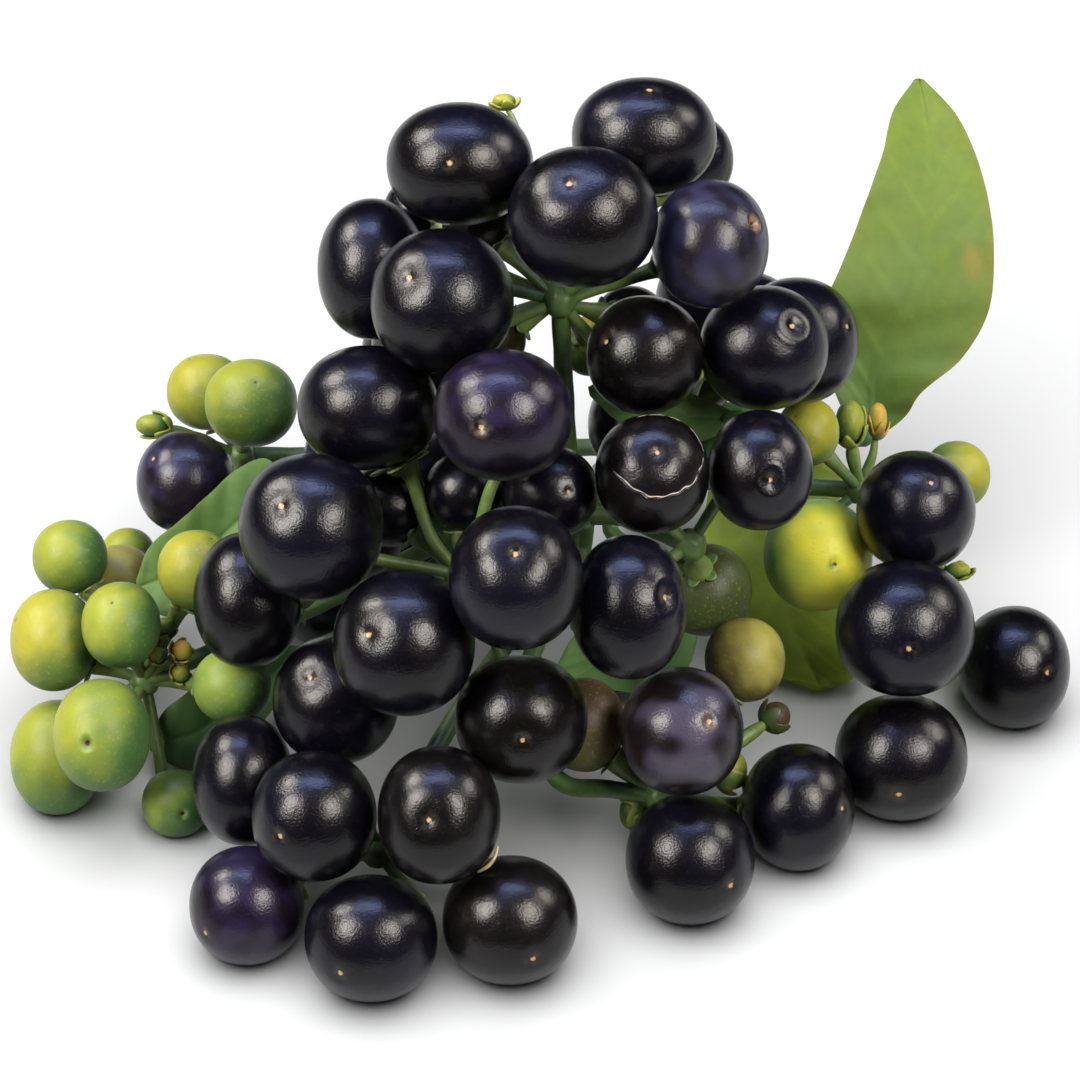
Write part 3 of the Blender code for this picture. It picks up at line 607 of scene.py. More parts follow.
def split_skin(direction, polar, paint, dice):
    """The healed split round one berry: how far it lifts the skin, as a share of the radius, and the new
    paint. It is a dark groove with a dry pale lip on its inner side; both come and go along it, and it is
    open on the left. The lip is dry skin painted as bright as glints: partly a painted highlight."""
    wander = 0.07 * soft_patches(direction, dice, 6, 4.0) + 0.06 * soft_patches(direction, dice, 6, 12.0)
    from_seam = polar[:, None] - SEAM_ANGLE + wander
    on_left = np.clip((-0.30 - direction[..., 0]) / 0.12, 0.0, 1.0)
    on_top = np.clip((direction[..., 1] + 0.05) / 0.1, 0.0, 1.0)
    there = 1.0 - on_left * on_top
    broken = np.clip(0.30 + 3.6 * soft_patches(direction, dice, 6, 18.0), 0.0, 1.0)
    groove = np.exp(-((from_seam / SEAM_WIDTH) ** 2)) * there
    lip = np.exp(-(((from_seam + 1.8 * SEAM_WIDTH) / SEAM_WIDTH) ** 2)) * there
    lift = LIP_HEIGHT * lip - GROOVE_DEPTH * groove - STEP_DOWN * (from_seam > 0.0) * there
    # Painted highlight: the pale lip shows in broken stretches, as glints do
    paint = paint + (SEAM_LIP_AND_GLINT - paint) * (lip * (0.02 + 0.98 * broken))[..., None]
    return lift, paint + (SEAM_GROOVE - paint) * groove[..., None]


def berry_part(berry, centre, axes, scar, dice):
    """The closed skin of one berry. A direction at an angle from the scar is scaled by the half sizes and
    by a radius of one, less the dimple, plus the ring, plus soft lumps, and divided by a power mean for
    boxiness."""
    small = berry.wide < SMALL
    split = berry.form == "seam"
    rows, around = COARSE if small else MEDIUM if berry.scar is UNSEEN or berry.wide < MIDDLING else FINE
    depth, width, ring, ring_angle, ring_width = FORMS["cap" if small else berry.form]
    scar = scar / np.linalg.norm(scar)
    polar = math.pi * np.linspace(0.0, 1.0, rows + 2) ** (1.0 if small else CROWDING)
    if split:
        fine = np.linspace(SEAM_ANGLE - SEAM_BAND, SEAM_ANGLE + SEAM_BAND, SEAM_ROWS[1])
        polar = np.unique(np.concatenate([np.linspace(0.0, math.pi, SEAM_ROWS[0]), fine]))
        rows, around = len(polar) - 2, SEAM_AROUND
    turn = np.linspace(0.0, 2.0 * math.pi, around, endpoint=False)
    direction = directions_round(SEAM_AXIS / np.linalg.norm(SEAM_AXIS) if split else scar, polar, turn)
    first, second = squared_to(scar)
    angle = np.arccos(np.clip(direction @ scar, -1.0, 1.0))
    spin = np.arctan2(direction @ second, direction @ first)
    uneven = 1.0 + 0.30 * np.sin(spin + dice.uniform(0.0, 6.0))
    uneven = uneven + 0.15 * np.sin(3.0 * spin + dice.uniform(0.0, 6.0))
    radius = 1.0 - depth * np.exp(-((angle / (width * (0.85 + 0.15 * uneven))) ** 2))
    radius -= 0.5 * depth * np.exp(-((angle / PIT_WIDTH) ** 2))
    radius += ring * np.exp(-(((angle - ring_angle) / ring_width) ** 2)) * uneven
    radius -= BASE_DIP * np.exp(-(((math.pi - angle) / BASE_WIDTH) ** 2))
    radius += LUMP_SIZE * soft_patches(direction, dice) * np.sin(angle)
    if small:
        radius *= BUD_SIZE
    boxy = (np.abs(direction) ** BOXINESS).sum(axis=-1) ** (-1.0 / BOXINESS)
    shape = direction * (radius * boxy)[..., None] * (axes / BERRY_SWELL) * SKIN_SWELL
    places = centre + shape @ PICTURE
    places[..., 2] = np.maximum(places[..., 2], 0.0)
    base, patch = (np.array(colour) for colour in SKINS[berry.skin])
    blend = 0.5 + 0.9 * soft_patches(direction, dice, 6, 2.2)
    # Painted light and shade: lighter toward the lit side, which is mirrored in the picture's right half; the
    # lime berry's lighter side is centred on its scar, which faces the eye
    if berry.skin not in DARK_SKINS:
        lit_side = PAINTED_LIGHT_SIDE * np.array([1.0 if berry.right < MIDDLE else -1.0, 1.0, 1.0])
        if berry.skin == "lime":
            lit_side = scar
        blend = 0.30 * blend + 0.75 * (0.95 - direction @ lit_side) + 0.25 * soft_patches(direction, dice, 6, 6.0)
    if berry.skin in MOTTLED_SKINS:
        blend += 1.5 * soft_patches(direction, dice, 8, 7.0) - 0.1
    blend = np.clip(blend, 0.0, 1.0)
    blend = (blend * blend * (3.0 - 2.0 * blend))[..., None]
    paint = base + (patch - base) * blend
    if split:
        lift, paint = split_skin(direction, polar, paint, dice)
        places += ((direction * axes) @ PICTURE) * lift[..., None]
    starred = np.full_like(angle, {"star": 1.0, "hole": 2.0}.get(berry.form, 0.25))
    mark = np.stack([angle * np.cos(spin), angle * np.sin(spin), starred], axis=-1)

    def ends_and_rows(values):
        return np.concatenate([[values[0, 0]], values[1:-1].reshape(-1, 3), [values[-1, 0]]])

    return Part(ends_and_rows(places), rows, around, ends_and_rows(paint), ends_and_rows(mark))


# %% [markdown]
# ## A calyx
# The five green sepals stay on as a star where the stalk meets the berry. It is a thin closed sheet: it
# runs out along the berry's skin to a rim with five points, turns over and comes back.

# %% Calyx surface
CALYX_GRID = (7, 40)
SEPAL_REACH = 1.7
SEPAL_THICKNESS = 0.00022
SEPAL_LIFT = 0.10
ON_SKIN = 0.985


def calyx_part(centre, axes, scar, reach, tip, dice):
    """A five-pointed star on the berry's base. Its outline in the angle from the stalk is a rim with five
    cosine lobes; the lobes lift off the skin with the square of that angle."""
    rows, around = CALYX_GRID
    turn = np.linspace(0.0, 2.0 * math.pi, around, endpoint=False)
    outward = np.linspace(1.0 / rows, 1.0, rows)
    share = np.concatenate([outward, outward[::-1]])
    over = np.concatenate([np.zeros(rows), np.ones(rows)])
    lobes = 0.52 + 0.48 * np.abs(np.cos(2.5 * (turn + dice.uniform(0.0, 1.2)))) ** 1.4
    angle = share[:, None] * lobes[None, :] * reach
    base = -scar / np.linalg.norm(scar)
    first, second = squared_to(base)
    side = np.cos(turn)[:, None] * first + np.sin(turn)[:, None] * second
    direction = np.cos(angle)[..., None] * base + np.sin(angle)[..., None] * side[None, :, :]
    thick = SEPAL_THICKNESS / axes.min()
    lift = ON_SKIN + SEPAL_LIFT * (angle / reach) ** 2 + over[:, None] * thick
    shape = direction * lift[..., None] * axes
    places = centre + shape @ PICTURE
    places[..., 2] = np.maximum(places[..., 2], 0.00001)
    start = centre + (base * 0.975 * axes) @ PICTURE
    end = centre + (base * (ON_SKIN + thick) * axes) @ PICTURE
    colour = STALK_GREEN + (tip - STALK_GREEN) * (share[:, None, None] ** 2 * np.ones((1, around, 1)))
    paint = np.concatenate([[STALK_GREEN], colour.reshape(-1, 3), [STALK_GREEN]])
    return closed_part(start, places[:, ::-1], end, paint)


# %% [markdown]
# ## Stalks
# A stalk is a round section carried along its route. The route is drawn through its points with a smooth
# curve, and the section keeps its direction from one step to the next, so it doesn't twist. Stalks thicken
# toward the berry and are a little knobbly.

# %% Stalk surface
SLIMMING = 0.86
KNOB_SIZE, KNOB_STEP, KNOB_SPREAD = 0.035, 0.0011, 0.0031
# Places along a berry's own stalk, from the berry's base. Its root ends inside the berry.
STRAIGHT, TURNING, NECK, ROOT = 0.0022, 0.006, 0.0002, 0.0009


def smooth_route(points, radii, per_step=5):
    """A curve through the points, with the radii blended along it. Between two points each coordinate is
    the cubic that has the slopes of the neighbouring points' chords."""
    points, radii = np.array(points, dtype=float), np.array(radii, dtype=float)
    values = np.column_stack([points, radii])
    padded = np.concatenate([2 * values[:1] - values[1:2], values, 2 * values[-1:] - values[-2:-1]])
    share = np.linspace(0.0, 1.0, per_step, endpoint=False)[:, None]
    pieces = []
    for number in range(len(values) - 1):
        before, start, end, after = padded[number : number + 4]
        slope_in, slope_out = 0.5 * (end - before), 0.5 * (after - start)
        rise = end - start
        bend = 3.0 * rise - 2.0 * slope_in - slope_out
        twist = slope_in + slope_out - 2.0 * rise
        pieces.append(start + slope_in * share + bend * share**2 + twist * share**3)
    values = np.concatenate(pieces + [values[-1:]])
    return values[:, :3], np.maximum(values[:, 3], 0.0001)


def stalk_part(points, radii, paint_start, paint_end, dice, around=14, ribs=0.0):
    """A round section carried along a route. Its radius is the stalk's, with soft knobs along it, and with
    five shallow ribs round it where ribs is above zero."""
    centres, sizes = smooth_route(points, radii)
    tangents = np.gradient(centres, axis=0)
    tangents /= np.linalg.norm(tangents, axis=1)[:, None]
    side, _ = squared_to(tangents[0])
    sides = []
    for tangent in tangents:
        side = side - tangent * np.dot(side, tangent)
        side = side / np.linalg.norm(side)
        sides.append(side)
    sides = np.array(sides)
    others = np.cross(tangents, sides)
    turn = np.linspace(0.0, 2.0 * math.pi, around, endpoint=False)
    along = np.concatenate([[0.0], np.cumsum(np.linalg.norm(np.diff(centres, axis=0), axis=1))])
    waves = np.sin(along / KNOB_STEP + dice.uniform(0.0, 6.0))
    knobs = 1.0 + KNOB_SIZE * waves * np.sin(along / KNOB_SPREAD)
    ring = sizes[:, None] * knobs[:, None] * (1.0 + ribs * np.cos(5.0 * turn))[None, :]
    spokes = np.cos(turn)[None, :, None] * sides[:, None, :]
    spokes = spokes + np.sin(turn)[None, :, None] * others[:, None, :]
    grid = centres[:, None, :] + ring[..., None] * spokes
    grid[..., 2] = np.maximum(grid[..., 2], 0.0)
    share = (along / along[-1])[:, None]
    paint = paint_start + (paint_end - paint_start) * share
    rows = np.repeat(paint, around, axis=0)
    return closed_part(centres[0], grid[:, ::-1], centres[-1], with_ends(rows))


def pedicel_route(hub, centre, axes, scar):
    """The path of a berry's own stalk: out of the hub, round the other berries and into the berry's base."""
    base = centre - (axes * scar) @ PICTURE
    leaving = base - centre
    leaving /= np.linalg.norm(leaving)
    outside = base + leaving * STRAIGHT
    turning = base + leaving * min(TURNING, 0.5 * np.linalg.norm(outside - hub) + 0.001)
    path = cleared(resample([hub, turning, outside]), PEDICEL_RADIUS, BALLS)
    calyx_radius = min(CALYX_RADIUS, 0.45 * min(axes))
    points = [*path, base + leaving * NECK, base - leaving * ROOT]
    radii = [PEDICEL_RADIUS * SLIMMING] * (len(path) - 1)
    radii += [min(PEDICEL_RADIUS * 1.2, calyx_radius), calyx_radius * 0.72, calyx_radius * 0.6]
    return points, radii


def ball_part(centre, radius, paint, dice):
    """A knobbly ball: a radius with soft lumps for every direction."""
    rows, around = COARSE
    polar = np.linspace(0.0, math.pi, rows + 2)[:, None]
    turn = np.linspace(0.0, 2.0 * math.pi, around, endpoint=False)[None, :]
    direction = np.stack(
        [np.sin(polar) * np.cos(turn), np.sin(polar) * np.sin(turn), np.cos(polar) + 0.0 * turn], axis=-1
    )
    places = centre + radius * direction * (1.0 + 0.10 * soft_patches(direction, dice, 5, 4.0))[..., None]
    return closed_part(places[0, 0], places[1:-1], places[-1, 0], paint)


# %% [markdown]
# ## Leaves
# A leaf is read off the picture as rows from its tip to its base: the two ends of each row and a depth. A
# smooth curve through the rows gives the blade's middle sheet. It folds a little along the midrib, waves at
# the edges and gets a thin body on both sides, with the veins pressed into it.

# %% Leaf rows
# A leaf's light scales how bright it is painted: below one it is painted shade, for the leaves behind the
# berries; above one it is painted light
Leaf = namedtuple("Leaf", "name veins light fork stalk_route rows")
LEAVES = [
    Leaf(
        "leaf_tall_right", 9.0, 1.0, Fork(0.84, ABOVE), [(810, 470, -0.058)],
        [
            (914, 80, 924, 80, -0.056), (893, 111, 956, 114, -0.054), (883, 152, 977, 158, -0.052),
            (867, 198, 989, 203, -0.050), (850, 244, 994, 250, -0.049), (833, 284, 989, 310, -0.048),
            (816, 318, 962, 358, -0.049), (824, 355, 922, 392, -0.050), (836, 395, 905, 417, -0.051),
            (855, 438, 875, 440, -0.052),
        ],
    ),
    Leaf(
        "leaf_low_right", 8.0, 1.6, Fork(0.66, RIGHT), [(700, 435, -0.056)],
        [
            (815, 688, 825, 688, -0.0375), (778, 676, 852, 679, -0.0385), (738, 640, 860, 645, -0.041),
            (714, 595, 856, 600, -0.044), (705, 550, 842, 556, -0.047), (706, 505, 838, 512, -0.0495),
            (716, 460, 836, 472, -0.0515), (736, 428, 748, 428, -0.053),
        ],
    ),
    Leaf(
        "leaf_left", 7.0, 0.55, Fork(0.14, LEFT), [(335, 520, -0.016), (420, 545, -0.018)],
        [
            (136, 580, 140, 594, -0.0265), (150, 546, 163, 616, -0.0258), (178, 522, 195, 610, -0.025),
            (206, 497, 225, 588, -0.0245), (236, 470, 250, 566, -0.024), (268, 459, 275, 540, -0.023),
            (292, 490, 292, 502, -0.022),
        ],
    ),
    Leaf(
        "leaf_centre", 6.0, 0.5, Fork(0.12, RIGHT), [(735, 470, -0.018), (670, 508, -0.021)],
        [
            (588, 387, 590, 396, -0.0155), (604, 380, 607, 412, -0.0155), (630, 384, 634, 432, -0.0158),
            (668, 388, 672, 442, -0.016), (704, 398, 706, 440, -0.0165), (738, 414, 739, 424, -0.017),
        ],
    ),
    Leaf(
        "leaf_under_left", 7.0, 0.25, Fork(0.36, LEFT), [(340, 652, -0.0410), (420, 590, -0.0400)],
        [
            (150, 742, 152, 752, -0.0300), (163, 712, 178, 768, -0.0290), (188, 692, 206, 770, -0.0292),
            (214, 670, 238, 748, -0.0310), (244, 654, 268, 716, -0.0340), (276, 645, 288, 684, -0.0370),
            (304, 646, 305, 656, -0.0395),
        ],
    ),
    Leaf(
        "leaf_under_middle", 6.0, 0.3, Fork(0.56, BELOW), [(700, 560, -0.0430), (670, 520, -0.0440)],
        [
            (556, 668, 562, 676, -0.0350), (574, 636, 606, 688, -0.0360), (606, 622, 640, 694, -0.0370),
            (642, 612, 668, 690, -0.0385), (676, 606, 690, 664, -0.0400), (700, 606, 702, 616, -0.0415),
        ],
    ),
]
print("leaves:", len(LEAVES))

# %% Leaf surface
BLADE_GRID = (84, 44)
LEAF_TOP = np.array([0.092, 0.133, 0.010])
LEAF_LOW = np.array([0.040, 0.125, 0.038])
RUST = np.array([0.24, 0.15, 0.035])
RUST_ROW, RUST_ACROSS = (0.47, 0.035), (0.66, 0.13)
VEIN_WIDTH, VEIN_DIP, VEIN_RISE = 0.09, 0.00006, 0.00010
RIB_WIDTH, RIB_DIP, RIB_RISE = 0.05, 0.00012, 0.00022
RIPPLE = 0.00010
EDGE_THICKNESS = 0.00003
NARROW_BLADE = 0.005
BLADE_STEPS = 12


def blade_place(leaf, row, across):
    """The place on the blade's middle sheet at a row, whole or between two, and at a share across it."""
    values = np.array(leaf.rows)
    fine, _ = smooth_route(values[:, :3], np.ones(len(values)), BLADE_STEPS)
    rest, _ = smooth_route(np.column_stack([values[:, 3:], values[:, 3]]), np.ones(len(values)), BLADE_STEPS)
    steps = np.arange(len(fine)) / BLADE_STEPS
    left, left_down, right = (np.interp(row, steps, fine[:, axis]) for axis in range(3))
    right_down, toward = (np.interp(row, steps, rest[:, axis]) for axis in range(2))
    from_rib = 2.0 * across - 1.0
    scale = metres_per_pixel(toward)
    half_width = 0.5 * np.hypot(right - left, right_down - left_down) * scale
    narrow = np.minimum(1.0, half_width / NARROW_BLADE)
    near = toward + (BLADE_FOLD * np.abs(from_rib) + BLADE_WAVE * from_rib * np.sin(2.1 * row)) * narrow
    right_now = left + (right - left) * across
    down_now = left_down + (right_down - left_down) * across
    scale = metres_per_pixel(near)
    return (
        PIVOT
        + ((right_now - MIDDLE) * scale)[..., None] * ACROSS
        + ((MIDDLE - down_now) * scale)[..., None] * UP
        + near[..., None] * TOWARD
    )


def round_both_sides(top, under):
    """Rows that run across the top of the blade and back along its underside, with each edge once."""
    return np.concatenate([top, under[:, -2:0:-1]], axis=1)


def blade_part(leaf, dice):
    """The closed blade: a middle sheet over the rows and across them, pushed out along its normal on both
    sides by half its thickness, which is full inside and fades at the edges, with a groove along each
    vein."""
    rows, cells = BLADE_GRID
    row = np.linspace(0.0, len(leaf.rows) - 1.0, rows)
    across = 0.5 - 0.5 * np.cos(np.linspace(0.0, math.pi, cells + 1))
    row, across = np.meshgrid(row, across, indexing="ij")
    middle = blade_place(leaf, row, across)
    normal = np.cross(np.gradient(middle, axis=1), np.gradient(middle, axis=0))
    normal /= np.linalg.norm(normal, axis=-1)[..., None] + 1e-12
    length = row / (len(leaf.rows) - 1.0)
    from_rib = 2.0 * across - 1.0
    branch = (length * leaf.veins + 1.6 * np.abs(from_rib)) % 1.0 - 0.5
    vein = np.exp(-((branch / VEIN_WIDTH) ** 2)) * (1.0 - np.abs(from_rib) ** 3)
    rib = np.exp(-((from_rib / RIB_WIDTH) ** 2))
    half = 0.5 * BLADE_THICKNESS * (1.0 - np.abs(from_rib) ** 6) * 0.7 + EDGE_THICKNESS
    ripple = RIPPLE * np.sin(7.0 * row + 3.0 * from_rib) * np.abs(from_rib)
    top = middle + normal * (half - VEIN_DIP * vein - RIB_DIP * rib + ripple)[..., None]
    under = middle - normal * (half + VEIN_RISE * vein + RIB_RISE * rib - ripple)[..., None]
    loop = round_both_sides(top, under)
    # Lighter toward the tip; each leaf's light then makes its colour brighter or darker: painted light and
    # shade
    lightness = 0.45 + 0.55 * np.cos(0.5 * math.pi * length) + 0.12 * soft_patches(middle * 220.0, dice)
    shade = np.clip(lightness * leaf.light, 0.0, 1.0)[..., None]
    paint = (LEAF_LOW + (LEAF_TOP - LEAF_LOW) * shade) * max(1.0, leaf.light)
    paint = paint * (1.0 + 0.12 * vein * leaf.light)[..., None]
    off_row = (length - RUST_ROW[0]) / RUST_ROW[1]
    off_across = (from_rib - RUST_ACROSS[0]) / RUST_ACROSS[1]
    rust = 0.6 * (leaf.light == 1.0) * np.exp(-(off_row**2) - off_across**2)
    paint = paint + (RUST - paint) * rust[..., None]
    paint_loop = round_both_sides(paint, paint).reshape(-1, 3)
    start, end = middle[0].mean(axis=0), middle[-1].mean(axis=0)
    return closed_part(start, loop[:, ::-1], end, with_ends(paint_loop))


# %% [markdown]
# ## Finishes
# Each finish is a small network on the piece's own colour and mark. Ripe skin is almost black under a thin
# layer of wax: soft lumps and fine grain break up each highlight. The scar, and the rim and hole that some
# berries have, are drawn from the mark, whose length is the angle from the scar. Painted pictures could do
# the same, but these networks stay crisp at any size.

# %% Finishes


class Finish:
    """A material's node network, with short ways to set its shader, to add a node and to join two. A ramp
    is a smooth step: its stops are the two ends of the source's range and the values there."""

    def __init__(self, name):
        self.material = bpy.data.materials.new(name)
        self.material.use_nodes = True
        self.tree = self.material.node_tree
        self.shader = self.tree.nodes["Principled BSDF"]

    def shine(self, values):
        for socket, value in values.items():
            self.shader.inputs[socket].default_value = value

    def node(self, kind, operation=None, inputs=()):
        made = self.tree.nodes.new(kind)
        if operation:
            made.operation = operation
        for socket, value in dict(inputs).items():
            made.inputs[socket].default_value = value
        return made

    def join(self, output, target):
        self.tree.links.new(output, target)

    def attribute(self, name):
        made = self.node("ShaderNodeAttribute")
        made.attribute_name = name
        return made

    def sums(self, operation, first, second):
        made = self.node("ShaderNodeMath", operation)
        for socket, value in zip(made.inputs, (first, second)):
            if isinstance(value, (int, float)):
                socket.default_value = value
            else:
                self.join(value, socket)
        return made.outputs[0]

    def ramp(self, source, stops):
        sockets = ("From Min", "From Max", "To Min", "To Max")
        made = self.node("ShaderNodeMapRange", inputs=zip(sockets, stops))
        made.interpolation_type = "SMOOTHSTEP"
        self.join(source, made.inputs["Value"])
        return made.outputs["Result"]

    def noise(self, scale, detail=2.0):
        place = self.node("ShaderNodeTexCoord")
        made = self.node("ShaderNodeTexNoise", inputs={"Scale": scale, "Detail": detail})
        self.join(place.outputs["Object"], made.inputs["Vector"])
        return made.outputs["Fac"]

    def mix(self, factor, first, second):
        made = self.node("ShaderNodeMix")
        made.data_type = "RGBA"
        self.join(factor, made.inputs["Factor"])
        for socket, value in ((made.inputs[6], first), (made.inputs[7], second)):
            if isinstance(value, tuple):
                socket.default_value = (*value, 1.0)
            else:
                self.join(value, socket)
        return made.outputs[2]

    def bump(self, height, strength, distance):
        made = self.node("ShaderNodeBump", inputs={"Strength": strength, "Distance": distance})
        self.join(height, made.inputs["Height"])
        self.join(made.outputs["Normal"], self.shader.inputs["Normal"])


# The sizes of the noises, as repeats to a metre: flecks, the halo's spots, the scar's edge and the soft lumps
FLECK_GRAIN, SPOT_GRAIN, EDGE_GRAIN, SWELL_GRAIN = 2400.0, 900.0, 4000.0, 430.0
SWELL_SHARE = 2.6
SKIN_BUMP, PLANT_BUMP = (0.5, 0.00007), (0.4, 0.00006)
# Each colour round the scar fades out between two angles from it
HALO, DOT, RIM, CORE = (0.06, 0.24), (0.050, 0.075), (0.12, 0.16), (0.065, 0.095)
CORE_COLOUR = (0.030, 0.014, 0.007)
PLANT_FLECK = (0.03, 0.07, 0.012)


def berry_finish(name, shine, grain, scar_colour, halo_colour, fleck_colour, rim_colour):
    """Waxy skin: its own colour with fine flecks, a dry scar with a halo, and a grain that blurs light."""
    finish = Finish(name)
    finish.shine(shine)
    skin = finish.attribute("skin")
    flecks = finish.ramp(finish.noise(FLECK_GRAIN, 3.0), (0.55, 0.78, 0.0, 0.40))
    flecked = finish.mix(flecks, skin.outputs["Color"], fleck_colour)
    mark = finish.attribute("mark")
    flat = finish.node("ShaderNodeVectorMath", "MULTIPLY", inputs={1: (1.0, 1.0, 0.0)})
    finish.join(mark.outputs["Vector"], flat.inputs[0])
    length = finish.node("ShaderNodeVectorMath", "LENGTH")
    finish.join(flat.outputs["Vector"], length.inputs[0])
    wobble = finish.sums("MULTIPLY", finish.noise(EDGE_GRAIN), 0.05)
    angle = finish.sums("ADD", length.outputs["Value"], wobble)
    apart = finish.node("ShaderNodeSeparateXYZ")
    finish.join(mark.outputs["Vector"], apart.inputs[0])
    halo = finish.sums("MULTIPLY", finish.ramp(angle, (*HALO, 1.0, 0.0)), apart.outputs["Z"])
    spots = finish.ramp(finish.noise(SPOT_GRAIN, 3.0), (0.38, 0.62, 0.0, 1.0))
    spotted = finish.sums("MULTIPLY", halo, spots)
    haloed = finish.mix(spotted, flecked, halo_colour)
    dot = finish.ramp(angle, (*DOT, 1.0, 0.0))
    dotted = finish.mix(dot, haloed, scar_colour)
    holed = finish.ramp(apart.outputs["Z"], (1.5, 1.6, 0.0, 1.0))
    rim = finish.sums("MULTIPLY", holed, finish.ramp(angle, (*RIM, 1.0, 0.0)))
    core = finish.sums("MULTIPLY", holed, finish.ramp(angle, (*CORE, 1.0, 0.0)))
    rimmed = finish.mix(rim, dotted, rim_colour)
    finish.join(finish.mix(core, rimmed, CORE_COLOUR), finish.shader.inputs["Base Color"])
    swell = finish.sums("MULTIPLY", finish.noise(SWELL_GRAIN, 1.0), SWELL_SHARE)
    finish.bump(finish.sums("ADD", finish.noise(grain, 3.0), swell), *SKIN_BUMP)
    return finish.material


WAX = {"IOR": 1.36}
FLESH = {"Subsurface Weight": 0.25, "Subsurface Scale": 0.003, "Specular IOR Level": 0.38}
RIPE = berry_finish(
    "ripe skin", {"Roughness": 0.24, **WAX}, 4200.0,
    (0.34, 0.21, 0.10), (0.075, 0.060, 0.035), (0.0160, 0.0120, 0.0130), (0.20, 0.11, 0.05),
)
UNRIPE = berry_finish(
    "unripe skin", {"Roughness": 0.40, **WAX, **FLESH}, 5000.0,
    (0.10, 0.05, 0.02), (0.14, 0.22, 0.04), (0.26, 0.30, 0.06), (0.13, 0.17, 0.04),
)


def plant_finish(name, shine, flecks, scale):
    """Green stalk or leaf: its own colour, darker in fine flecks, with a matte surface."""
    finish = Finish(name)
    finish.shine(shine)
    skin = finish.attribute("skin")
    amount = finish.ramp(finish.noise(scale, 4.0), (0.35, 0.75, 0.0, flecks))
    flecked = finish.mix(amount, skin.outputs["Color"], PLANT_FLECK)
    finish.join(flecked, finish.shader.inputs["Base Color"])
    finish.bump(finish.noise(scale * 2.0, 2.0), *PLANT_BUMP)
    return finish.material


THIN = {"Subsurface Weight": 0.2, "Subsurface Scale": 0.002, "Specular IOR Level": 0.25}
STALK = plant_finish("stalk", {"Roughness": 0.45}, 0.5, 900.0)
LEAF = plant_finish("leaf", {"Roughness": 0.60, **THIN}, 0.22, 500.0)
print("finishes:", [made.name for made in (RIPE, UNRIPE, STALK, LEAF)])

# %% [markdown]
# ## Building the umbels
# Now every umbel gets a piece for its ripe berries, one for its unripe ones, and one for its stalks with the
# calyxes and the hub they grow from. One loop builds them all, because only their rows differ.

# %% Umbels
SKIN_FINISHES = {"ripe_skin": RIPE, "unripe_skin": UNRIPE}
DRY_SEPAL = [(478, 872, 0.0015), (488, 866, 0.0020), (495, 857, 0.0020), (498, 846, 0.0015)]
DRY = np.array([0.50, 0.40, 0.20])
DRY_RADII = (0.00014, 0.00022, 0.00017, 0.00010)
# The right umbel's side stalk runs level, so it is smoothed for fewer rounds and keeps nearer to its places
LEVEL_ROUNDS = 5
SEEN_CALYX, UNSEEN_CALYX = 1.25, 0.9
number = 0
for umbel in UMBELS:
    dice = np.random.default_rng(100 + number)
    hub = seen(*umbel.hub)
    scale = metres_per_pixel(umbel.hub[2])
    hub_measured = np.array([(umbel.hub[0] - MIDDLE) * scale, (MIDDLE - umbel.hub[1]) * scale, umbel.hub[2]])
    ending = fork_points(umbel.fork, STEM_POINTS)
    route = [hub] + [seen(*place) for place in umbel.route] + ending[:1]
    rounds = LEVEL_ROUNDS if umbel.name == "umbel_right" else CLEAR_ROUNDS
    path = [*cleared(resample(route), PEDUNCLE_RADIUS, BALLS, rounds), ending[1]]
    radii = np.linspace(PEDUNCLE_RADIUS, PEDUNCLE_RADIUS * 1.1, len(path)) * SLIMMING
    stalks = [
        stalk_part(path, radii, STALK_GREEN, STALK_GREEN, dice, around=18),
        ball_part(hub, HUB_RADIUS, STALK_GREEN, dice),
    ]
    skins = {"ripe_skin": [], "unripe_skin": []}
    for berry in umbel.berries:
        centre, axes = BALLS[number]
        scar = scar_direction(berry, DEPTHS[number], hub_measured)
        kind = "ripe_skin" if berry.skin in DARK_SKINS else "unripe_skin"
        skins[kind].append(berry_part(berry, centre, axes, scar, dice))
        points, widths = pedicel_route(hub, centre, axes, scar)
        stalks.append(stalk_part(points, widths, STALK_GREEN, STALK_TIP, dice))
        if berry.wide >= SMALL:
            unseen = berry.scar is UNSEEN
            wide = CALYX_RADIUS * (UNSEEN_CALYX if unseen else SEEN_CALYX)
            reach = min(wide, 0.5 * axes.min()) / axes.min()
            stalks.append(calyx_part(centre, axes, scar, reach, STALK_GREEN if unseen else STALK_TIP, dice))
        else:
            stalks.append(calyx_part(centre, axes, scar, SEPAL_REACH, np.array(SKINS[berry.skin][0]), dice))
        number += 1
    if umbel.name == "umbel_front":
        spike = [seen(*place) for place in DRY_SEPAL]
        stalks.append(stalk_part(spike, DRY_RADII, DRY, DRY, dice))
    for kind, parts in skins.items():
        if parts:
            build(umbel.name + "_" + kind, parts, SKIN_FINISHES[kind], umbel.name)
    build(umbel.name + "_stalks", stalks, STALK, umbel.name)

# %% [markdown]
# ## Building the leaves and the main stem
# Each leaf gets a blade and a stalk that starts inside the blade and ends at the main stem. The main stem is
# one thick stalk with shallow ribs, cut off at its end.

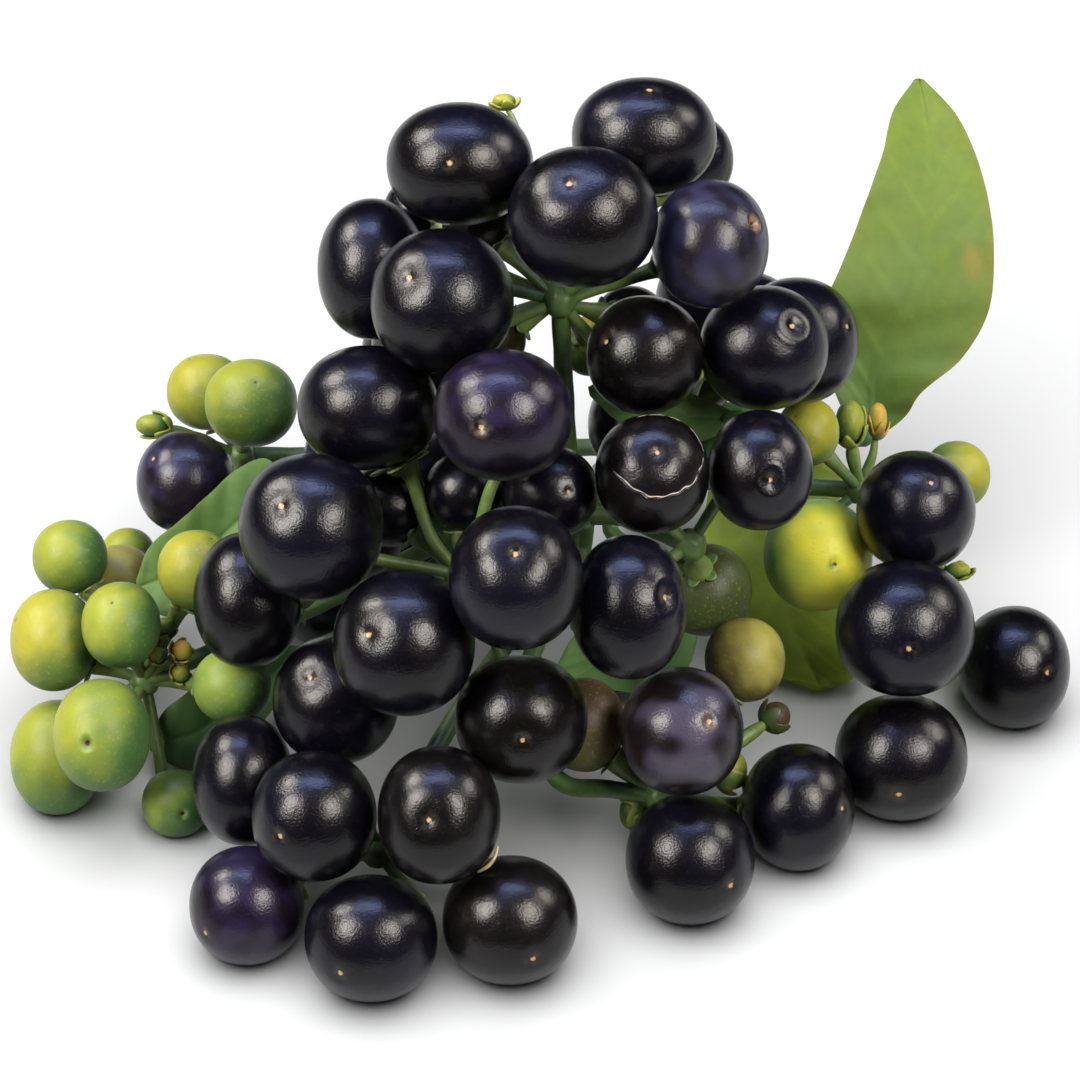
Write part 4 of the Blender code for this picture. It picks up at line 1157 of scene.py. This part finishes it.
# %% Leaves
for leaf in LEAVES:
    dice = np.random.default_rng(len(leaf.name))
    build(leaf.name + "_blade", [blade_part(leaf, dice)], LEAF, leaf.name)
    last = len(leaf.rows) - 1.0
    half_way = np.array(0.5)
    inside = blade_place(leaf, np.array(last - 1.0), half_way)
    base = blade_place(leaf, np.array(last), half_way)
    ending = fork_points(leaf.fork, STEM_POINTS)
    route = [base] + [seen(*place) for place in leaf.stalk_route] + ending[:1]
    path = cleared(resample(route), PETIOLE_RADIUS, BALLS)
    path = [0.5 * (inside + base), *path, ending[1]]
    widths = [PETIOLE_RADIUS * 0.6] + [PETIOLE_RADIUS] * (len(path) - 1)
    stalk = stalk_part(path, widths, LEAF_LOW, STALK_GREEN, dice)
    build(leaf.name + "_stalk", [stalk], STALK, leaf.name)

# %% Main stem
dice = np.random.default_rng(7)
widths = [STEM_RADIUS * 0.97] * len(STEM_POINTS)
stem = stalk_part(STEM_POINTS, widths, STEM_GREEN, STEM_GREEN, dice, around=40, ribs=0.03)
build("main_stem_surface", [stem], STALK, "main_stem")
print("triangles in all:", sum(triangles))

# %% [markdown]
# ## Table, lamps and dim room
# The highlights say how the bunch was lit: on each berry two warm spots, weaker ones at its sides and a
# bluish band near the top. Each spot's place on a ball gives the direction of its lamp, by the law of
# reflection. The table has a wide lamp of its own above the bunch, so that the shadow under the bunch is
# dark and soft at its edge.

# %% Table
table = bpy.data.meshes.new("table")
table.from_pydata([(-2, -2, 0), (2, -2, 0), (2, 2, 0), (-2, 2, 0)], [], [(0, 1, 2, 3)])
floor = bpy.data.objects.new("table", table)
bpy.context.scene.collection.objects.link(floor)
floor_finish = Finish("pale table")
floor_finish.shine({"Base Color": (0.80, 0.80, 0.80, 1.0), "Roughness": 0.8})
table.materials.append(floor_finish.material)


# %% Lamps
bunch = bpy.data.collections.new("bunch")
for made in [piece for piece in bpy.data.objects if "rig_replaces" in piece]:
    bunch.objects.link(made)
ground = bpy.data.collections.new("ground")
ground.objects.link(floor)


def lamp(name, direction, size, power, colour, distance, lit):
    """A soft disc or band of light that faces the bunch from a direction across, up and toward the eye."""
    data = bpy.data.lights.new(name, "AREA")
    data.shape = "ELLIPSE"
    data.size, data.size_y = size
    data.energy = power
    data.color = colour
    made = bpy.data.objects.new(name, data)
    bpy.context.scene.collection.objects.link(made)
    away = np.array(direction) / np.linalg.norm(direction)
    away = away @ PICTURE
    made.location = PIVOT + away * distance
    made.rotation_euler = Vector(away).to_track_quat("Z", "Y").to_euler()
    made.light_linking.receiver_collection = lit
    return made


WARM = (1.0, 0.94, 0.86)
BLUE = (0.46, 0.56, 1.0)
SKY = (0.38, 0.42, 1.0)
WHITE = (1.0, 1.0, 1.0)
LAMP_DISTANCE = 0.6
TABLE_LAMP_DISTANCE = 1.1
LAMPS = [
    ("left lamp", (-0.615, 0.28, 0.737), (0.28, 0.28), 5.2, WARM),
    ("right lamp", (0.51, 0.23, 0.83), (0.28, 0.28), 4.4, WARM),
    ("far left lamp", (-0.66, 0.71, 0.28), (0.24, 0.24), 3.6, WARM),
    ("far right lamp", (0.79, 0.55, 0.25), (0.24, 0.24), 1.9, WARM),
    ("window", (0.0, 0.865, 0.5), (0.56, 0.12), 2.6, BLUE),
    ("sky", (-0.20, 0.80, 0.55), (0.90, 0.45), 1.6, SKY),
]
for row in LAMPS:
    lamp(*row, LAMP_DISTANCE, bunch)
lamp("table lamp", (-0.05, 0.68, 0.73), (1.60, 1.60), 26.0, WHITE, TABLE_LAMP_DISTANCE, ground)

world = bpy.data.worlds.new("room")
world.use_nodes = True
room = world.node_tree.nodes["Background"]
room.inputs["Color"].default_value = (0.80, 0.87, 1.0, 1.0)
room.inputs["Strength"].default_value = 0.03
bpy.context.scene.world = world
bpy.context.scene.view_settings.view_transform = "Standard"
print("lamps:", len(bpy.data.lights))
